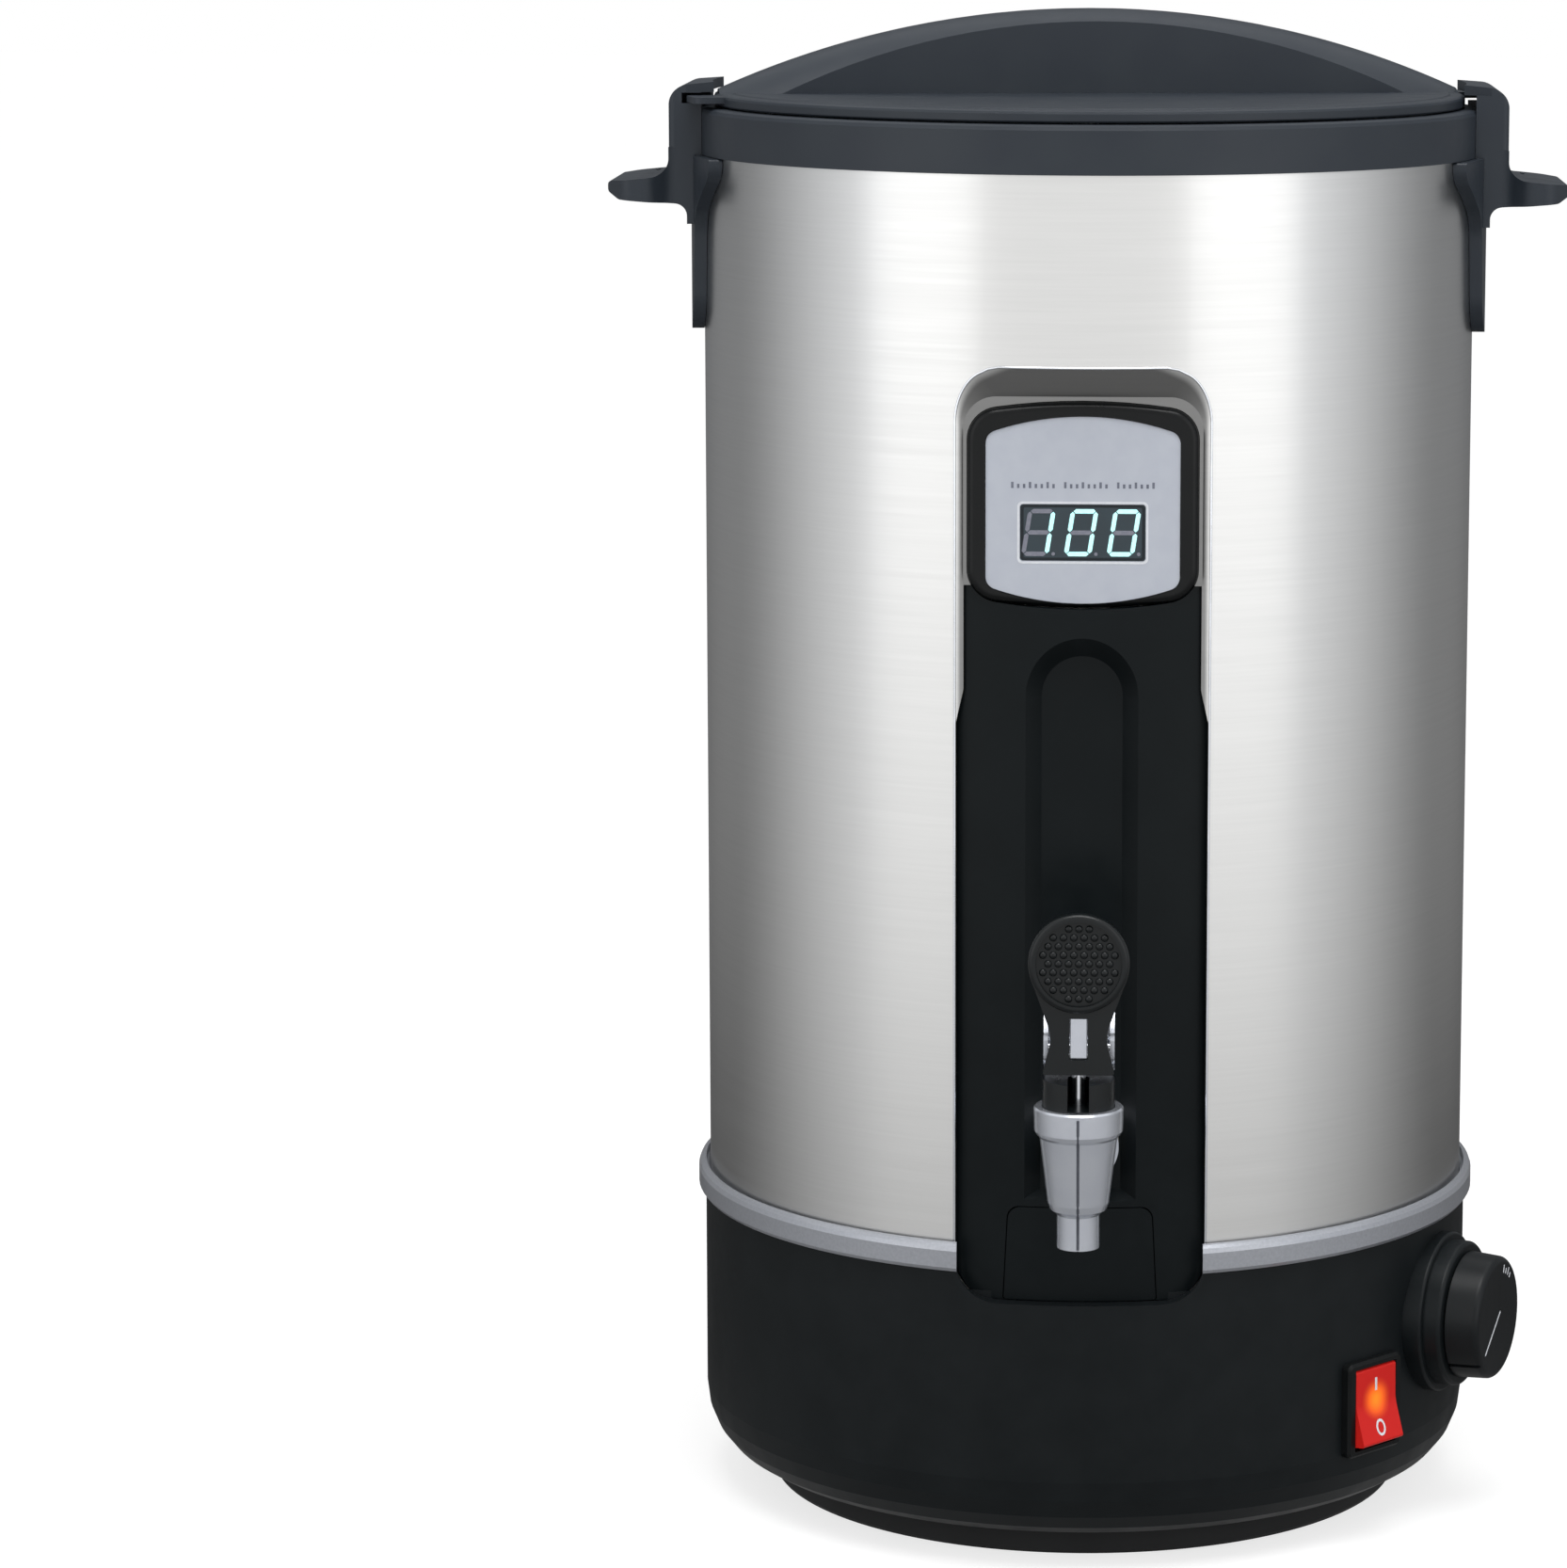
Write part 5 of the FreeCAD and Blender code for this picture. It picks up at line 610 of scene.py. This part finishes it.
def bar(u0, v0, u1, v1, width):
    """A straight stroke from one point to another."""
    along = Vector((u1 - u0, v1 - v0)).normalized() * width / 2
    return [(u0 - along.y, v0 + along.x), (u0 + along.y, v0 - along.x),
            (u1 + along.y, v1 - along.x), (u1 - along.y, v1 + along.x)]


X, Y, Z = Vector((1, 0, 0)), Vector((0, 1, 0)), Vector((0, 0, 1))
print("film helpers ready")


# %% Inks
def ink(name, base, second, roughness, glow=0.0):
    material, tree, shader = new_finish(name, base, roughness, IOR=1.5, Specular_IOR_Level=0.3)
    mottle(tree, shader, base, second, 1.2)
    grain(tree, shader, 0.3, 0.004, 0.3)
    if glow:
        shader.inputs["Emission Color"].default_value = colour(base)
        shader.inputs["Emission Strength"].default_value = glow
    return material


lit_segment = ink("lit_led_segment", "#B6F4F4", "#C4F9F8", 0.35, 0.62)
dim_segment = ink("unlit_led_segment", "#7D7F8C", "#888A96", 0.40)
window_edge = ink("black_window_mask", "#0E181E", "#121D24", 0.35)
white_ink = ink("white_printing_ink", "#DDE0E6", "#E6E9EE", 0.50)
grey_ink = ink("grey_printing_ink", "#6A6E7C", "#757987", 0.55)
seam_grey = ink("mould_seam_grey", "#4A4D55", "#54575F", 0.50)
print("made 6 inks")

# %% [markdown]
# ## The display
#
# The module is the common three digit kind with 14.2 mm characters. Each character is seven bars with
# pointed ends, sheared by 9 degrees, and a decimal point. It reads 100: bars that are off still show as pale
# diffusers. A black mask frames the window, a thin white line goes round it, and a row of short ticks is
# printed above.

# %% Digits
DIGIT_W, DIGIT_H, BAR_W, DIGIT_PITCH, SLANT = 7.1, 13.2, 1.35, 13.1, math.tan(math.radians(9))
BAR_GAP, ROW_LEFT, POINT_R, POINT_AWAY = 0.18, 0.5, 0.55, 1.0
lens, plate = nodes["led_window"], nodes["display_plate"]
lens_low, lens_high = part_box("led_window")
window_centre = Vector(((lens_low[0] + lens_high[0]) / 2, lens_low[1], (lens_low[2] + lens_high[2]) / 2))
window_w, window_h = (lens_high[0] - lens_low[0]) / MM, (lens_high[2] - lens_low[2]) / MM
W, H = DIGIT_W / 2, DIGIT_H / 2
BARS = {  # ends of the seven bars from the digit's middle
    "top": (-W, H, W, H), "middle": (-W, 0, W, 0), "foot": (-W, -H, W, -H),
    "left_high": (-W, H, -W, 0), "left_low": (-W, 0, -W, -H),
    "right_high": (W, H, W, 0), "right_low": (W, 0, W, -H),
}
ONE, ZERO = {"right_high", "right_low"}, set(BARS) - {"middle"}


def pointed_bar(u0, v0, u1, v1, centre):
    """A bar with pointed ends that stops just short of its neighbours, sheared to the right."""
    a, b = Vector((u0, v0)), Vector((u1, v1))
    along = (b - a).normalized()
    across = Vector((-along.y, along.x)) * BAR_W / 2
    a, b = a + along * BAR_GAP, b - along * BAR_GAP
    shoulder = along * BAR_W / 2
    loop = (a, a + shoulder + across, b - shoulder + across, b, b - shoulder - across, a + shoulder - across)
    return [(centre + p.x + p.y * SLANT, p.y) for p in loop]


lit, dim = [], []
for place, shown in zip((-1, 0, 1), (ONE, ZERO, ZERO)):
    centre = place * DIGIT_PITCH - ROW_LEFT
    for bar_name, ends in sorted(BARS.items()):
        (lit if bar_name in shown else dim).append(pointed_bar(*ends, centre))
    dim.append(round_loop(POINT_R, POINT_R, centre + W + POINT_AWAY, -H, 12))
film("led_segments_lit", lens, lit, window_centre, X, Z, lit_segment)
film("led_segments_dim", lens, dim, window_centre, X, Z, dim_segment, lift_mm=0.05)
half_w, half_h = window_w / 2, window_h / 2
mask = (box_loop(half_w - 0.15, half_h - 0.15, 1.1), box_loop(half_w - 1.0, half_h - 0.9, 0.5))
film("led_window_mask", lens, [mask], window_centre, X, Z, window_edge, lift_mm=0.04)
print(len(lit), "bars lit,", len(dim), "dim")

# %% Print on the display's plate
line = (box_loop(half_w + 0.95, half_h + 0.95, 1.6), box_loop(half_w + 0.3, half_h + 0.3, 1.2))
film("plate_window_line", plate, [line], window_centre, X, Z, white_ink, lift_mm=0.05)
TICK_UP, TICK_HALF_ROW, TICK_STEP, TICK_W = 13.7, 21.6, 1.8, 0.75
TICK_TALL, TICK_SHORT = 1.9, 1.3
ticks = []
for k in range(int(2 * TICK_HALF_ROW / TICK_STEP) + 1):
    u = -TICK_HALF_ROW + k * TICK_STEP
    if k % 9 != 8:  # a gap every eight ticks
        tall = TICK_TALL if k % 3 == 0 else TICK_SHORT
        ticks.append(bar(u, TICK_UP, u, TICK_UP + tall, TICK_W))
film("plate_ticks", plate, ticks, window_centre, X, Z, grey_ink, lift_mm=0.05)
print(len(ticks), "ticks")

# %% [markdown]
# ## Marks on the controls
#
# The knob's groove is filled with white paint and short white lines stand near the edge of its face. The
# rocker has a line at the end that is pressed for on, and a ring for off. The tap's body was cast in two
# halves, and a thin grey seam runs down its front.

# %% Knob and rocker marks
KNOB_AZIMUTH, KNOB_HEIGHT_MM, KNOB_FACE_MM = 66.5, 66.0, 147.5
POINTER_TURN, POINTER_TAIL, POINTER_TIP, POINTER_W = math.radians(220), -2.6, 15.2, 1.0
GROOVE_FILL_MM = 0.4
MARK_DEGREES, MARK_FOOT, MARK_TIPS, MARK_W = (50, 58, 66, 74), 14.6, (16.4, 17.2), 0.6


def on_base(azimuth, radius_mm, height_mm):
    """A place on the base, and the direction that is right for someone who faces it."""
    a = math.radians(azimuth)
    return on_circle(azimuth, radius_mm * MM, height_mm * MM), Vector((math.cos(a), math.sin(a), 0))


def polar(radius, turn):
    return radius * math.cos(turn), radius * math.sin(turn)


knob_centre, knob_right = on_base(KNOB_AZIMUTH, KNOB_FACE_MM, KNOB_HEIGHT_MM)
knob, rocker = nodes["control_knob"], nodes["rocker"]
pointer = [bar(*polar(POINTER_TAIL, POINTER_TURN), *polar(POINTER_TIP, POINTER_TURN), POINTER_W)]
film("knob_pointer_paint", knob, pointer, knob_centre, knob_right, Z, white_ink, "knob", GROOVE_FILL_MM)
marks = []
for k, degrees in enumerate(MARK_DEGREES):
    turn = math.radians(degrees)
    marks.append(bar(*polar(MARK_FOOT, turn), *polar(MARK_TIPS[k % 2], turn), MARK_W))
film("knob_face_marks", knob, marks, knob_centre, knob_right, Z, white_ink, "knob")
rocker_centre, rocker_right = on_base(ROCKER_AZIMUTH, ROCKER_FACE, ROCKER_Z)
on_mark = bar(0, 5.2, 0, 9.4, 1.0)
off_mark = (round_loop(2.1, 2.6, 0, -6.6), round_loop(1.35, 1.8, 0, -6.6))
film("rocker_on_mark", rocker, [on_mark], rocker_centre, rocker_right, Z, white_ink, "rocker")
film("rocker_off_mark", rocker, [off_mark], rocker_centre, rocker_right, Z, white_ink, "rocker")
print("4 marks on the controls")

# %% Seam down the front of the tap
SEAM_FOOT_MM, SEAM_TOP_MM, SEAM_STEP, SEAM_W = 116.0, 158.0, 1.5, 0.9
seam = [bar(0, v * SEAM_STEP, 0, (v + 1) * SEAM_STEP, SEAM_W)
        for v in range(int((SEAM_TOP_MM - SEAM_FOOT_MM) / SEAM_STEP))]
tap_front = Vector((0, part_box("tap_body")[0][1], SEAM_FOOT_MM * MM))
film("tap_mould_seam", nodes["tap_body"], seam, tap_front, X, Z, seam_grey, lift_mm=0.03)
print("seam of", len(seam), "steps")

# %% [markdown]
# ## The lever's pad and its bright insert
#
# The thumb pad is covered with low round studs in a honeycomb, 3.1 mm apart, so that a thumb doesn't slip.
# A strip of bright sheet fills the window in the lever's neck.

# %% Studs on the pad
lever = nodes["tap_lever"]
lever_low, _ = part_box("tap_lever")
PAD_HEIGHT_MM, STUD_STEP, STUD_R, FIELD_R = 205.0, 3.1, 1.2, 11.8
STUD_FLATNESS, STUD_CORNERS = 0.7, 42  # a stud's height over its radius, and the corners of its sphere
studs = bmesh.new()
row_step = STUD_STEP * math.sqrt(3) / 2
for row in range(-5, 6):
    for column in range(-6, 7):
        u, v = (column + (row % 2) / 2) * STUD_STEP, row * row_step
        if math.hypot(u, v) < FIELD_R:
            skin = drop_on(lever, Vector((u * MM, lever_low[1] - 0.01, (PAD_HEIGHT_MM + v) * MM)), Y)
            shape = Matrix.Translation(skin) @ Matrix.Diagonal((1, STUD_FLATNESS, 1, 1))
            bmesh.ops.create_icosphere(studs, subdivisions=2, radius=STUD_R * MM, matrix=shape)
for face in studs.faces:
    face.smooth = True
stud_count = len(studs.verts) // STUD_CORNERS
finish_piece("lever_pad_studs", studs, tap_plastic, "tap_lever")
print(stud_count, "studs")

# %% Bright insert in the lever's window
INSERT_HALF_W, INSERT_FOOT, INSERT_TOP = 2.6, 175.6, 187.9
INSERT_T, INSERT_Y, INSERT_BEVEL = 1.0, -165.9, 0.25
insert = bmesh.new()
insert_tall = INSERT_TOP - INSERT_FOOT
bmesh.ops.create_cube(insert, size=1.0, matrix=(
    Matrix.Translation(Vector((0, INSERT_Y, INSERT_FOOT + insert_tall / 2)) * MM)
    @ Matrix.Diagonal((2 * INSERT_HALF_W * MM, INSERT_T * MM, insert_tall * MM, 1))
))
edges = list(insert.edges)
bmesh.ops.bevel(insert, geom=edges, offset=INSERT_BEVEL * MM, segments=2, affect="EDGES", profile=0.6)
finish_piece("lever_window_insert", insert, satin_chrome, "tap_lever")
print("insert", round(insert_tall, 1), "mm tall")

# %% [markdown]
# ## The rolled edge of the cut-out
#
# Where the shell turns in to the front panel the press leaves a small rounded edge, which catches the light
# as a bright line. It follows the line in which the tapered opening meets the cylinder. The opening's roof
# ends level, and that keeps the top of the line straight.

# %% Rolled edge
BODY_R_MM, FLOOR_Y_MM, FLOOR_HALF, FLOOR_TOP, FLOOR_CORNER = 125.0, 117.2, 36.8, 371.3, 10.0
SIDE_SLOPE, TOP_SLOPE, CORNER_SLOPE = 1.82, 2.0, 0.357  # growth per mm towards the front
ROOF_MM, EDGE_FOOT_MM, BEAD_R = 380.7, 106.0, 0.4


def opening_edge(kind, along):
    """A point of the edge: up the right side, round the corner (along in radians) or across the top."""
    depth = math.sqrt(BODY_R_MM ** 2 - FLOOR_HALF ** 2)
    for _ in range(6):  # the outline grows towards the front, so the depth is found by repetition
        run = depth - FLOOR_Y_MM
        half, top = FLOOR_HALF + SIDE_SLOPE * run, FLOOR_TOP + TOP_SLOPE * run
        corner = FLOOR_CORNER + CORNER_SLOPE * run
        if kind == "side":
            x, z = half, EDGE_FOOT_MM + along * (top - corner - EDGE_FOOT_MM)
        elif kind == "corner":
            x, z = half - corner + corner * math.cos(along), top - corner + corner * math.sin(along)
        else:
            x, z = along * (half - corner), top
        depth = math.sqrt(BODY_R_MM ** 2 - x * x)
    return Vector((x, -depth, min(z, ROOF_MM))) * MM


half_path = [opening_edge("side", k / 12) for k in range(13)]
half_path += [opening_edge("corner", math.radians(9 * k)) for k in range(1, 11)]
half_path += [opening_edge("top", 1 - k / 8) for k in range(1, 9)]
path = half_path + [Vector((-p.x, p.y, p.z)) for p in reversed(half_path[:-1])]
bead_data = bpy.data.curves.new("cut_out_rolled_edge", "CURVE")
bead_data.dimensions, bead_data.bevel_depth, bead_data.bevel_resolution = "3D", BEAD_R * MM, 3
strand = bead_data.splines.new("POLY")
strand.points.add(len(path) - 1)
for point, place in zip(strand.points, path):
    point.co = (*place, 1.0)
bead = bpy.data.objects.new("cut_out_rolled_edge", bead_data)
bpy.context.collection.objects.link(bead)
bead_data.materials.append(chrome)
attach(bead, "root")
print("edge of", len(path), "points")
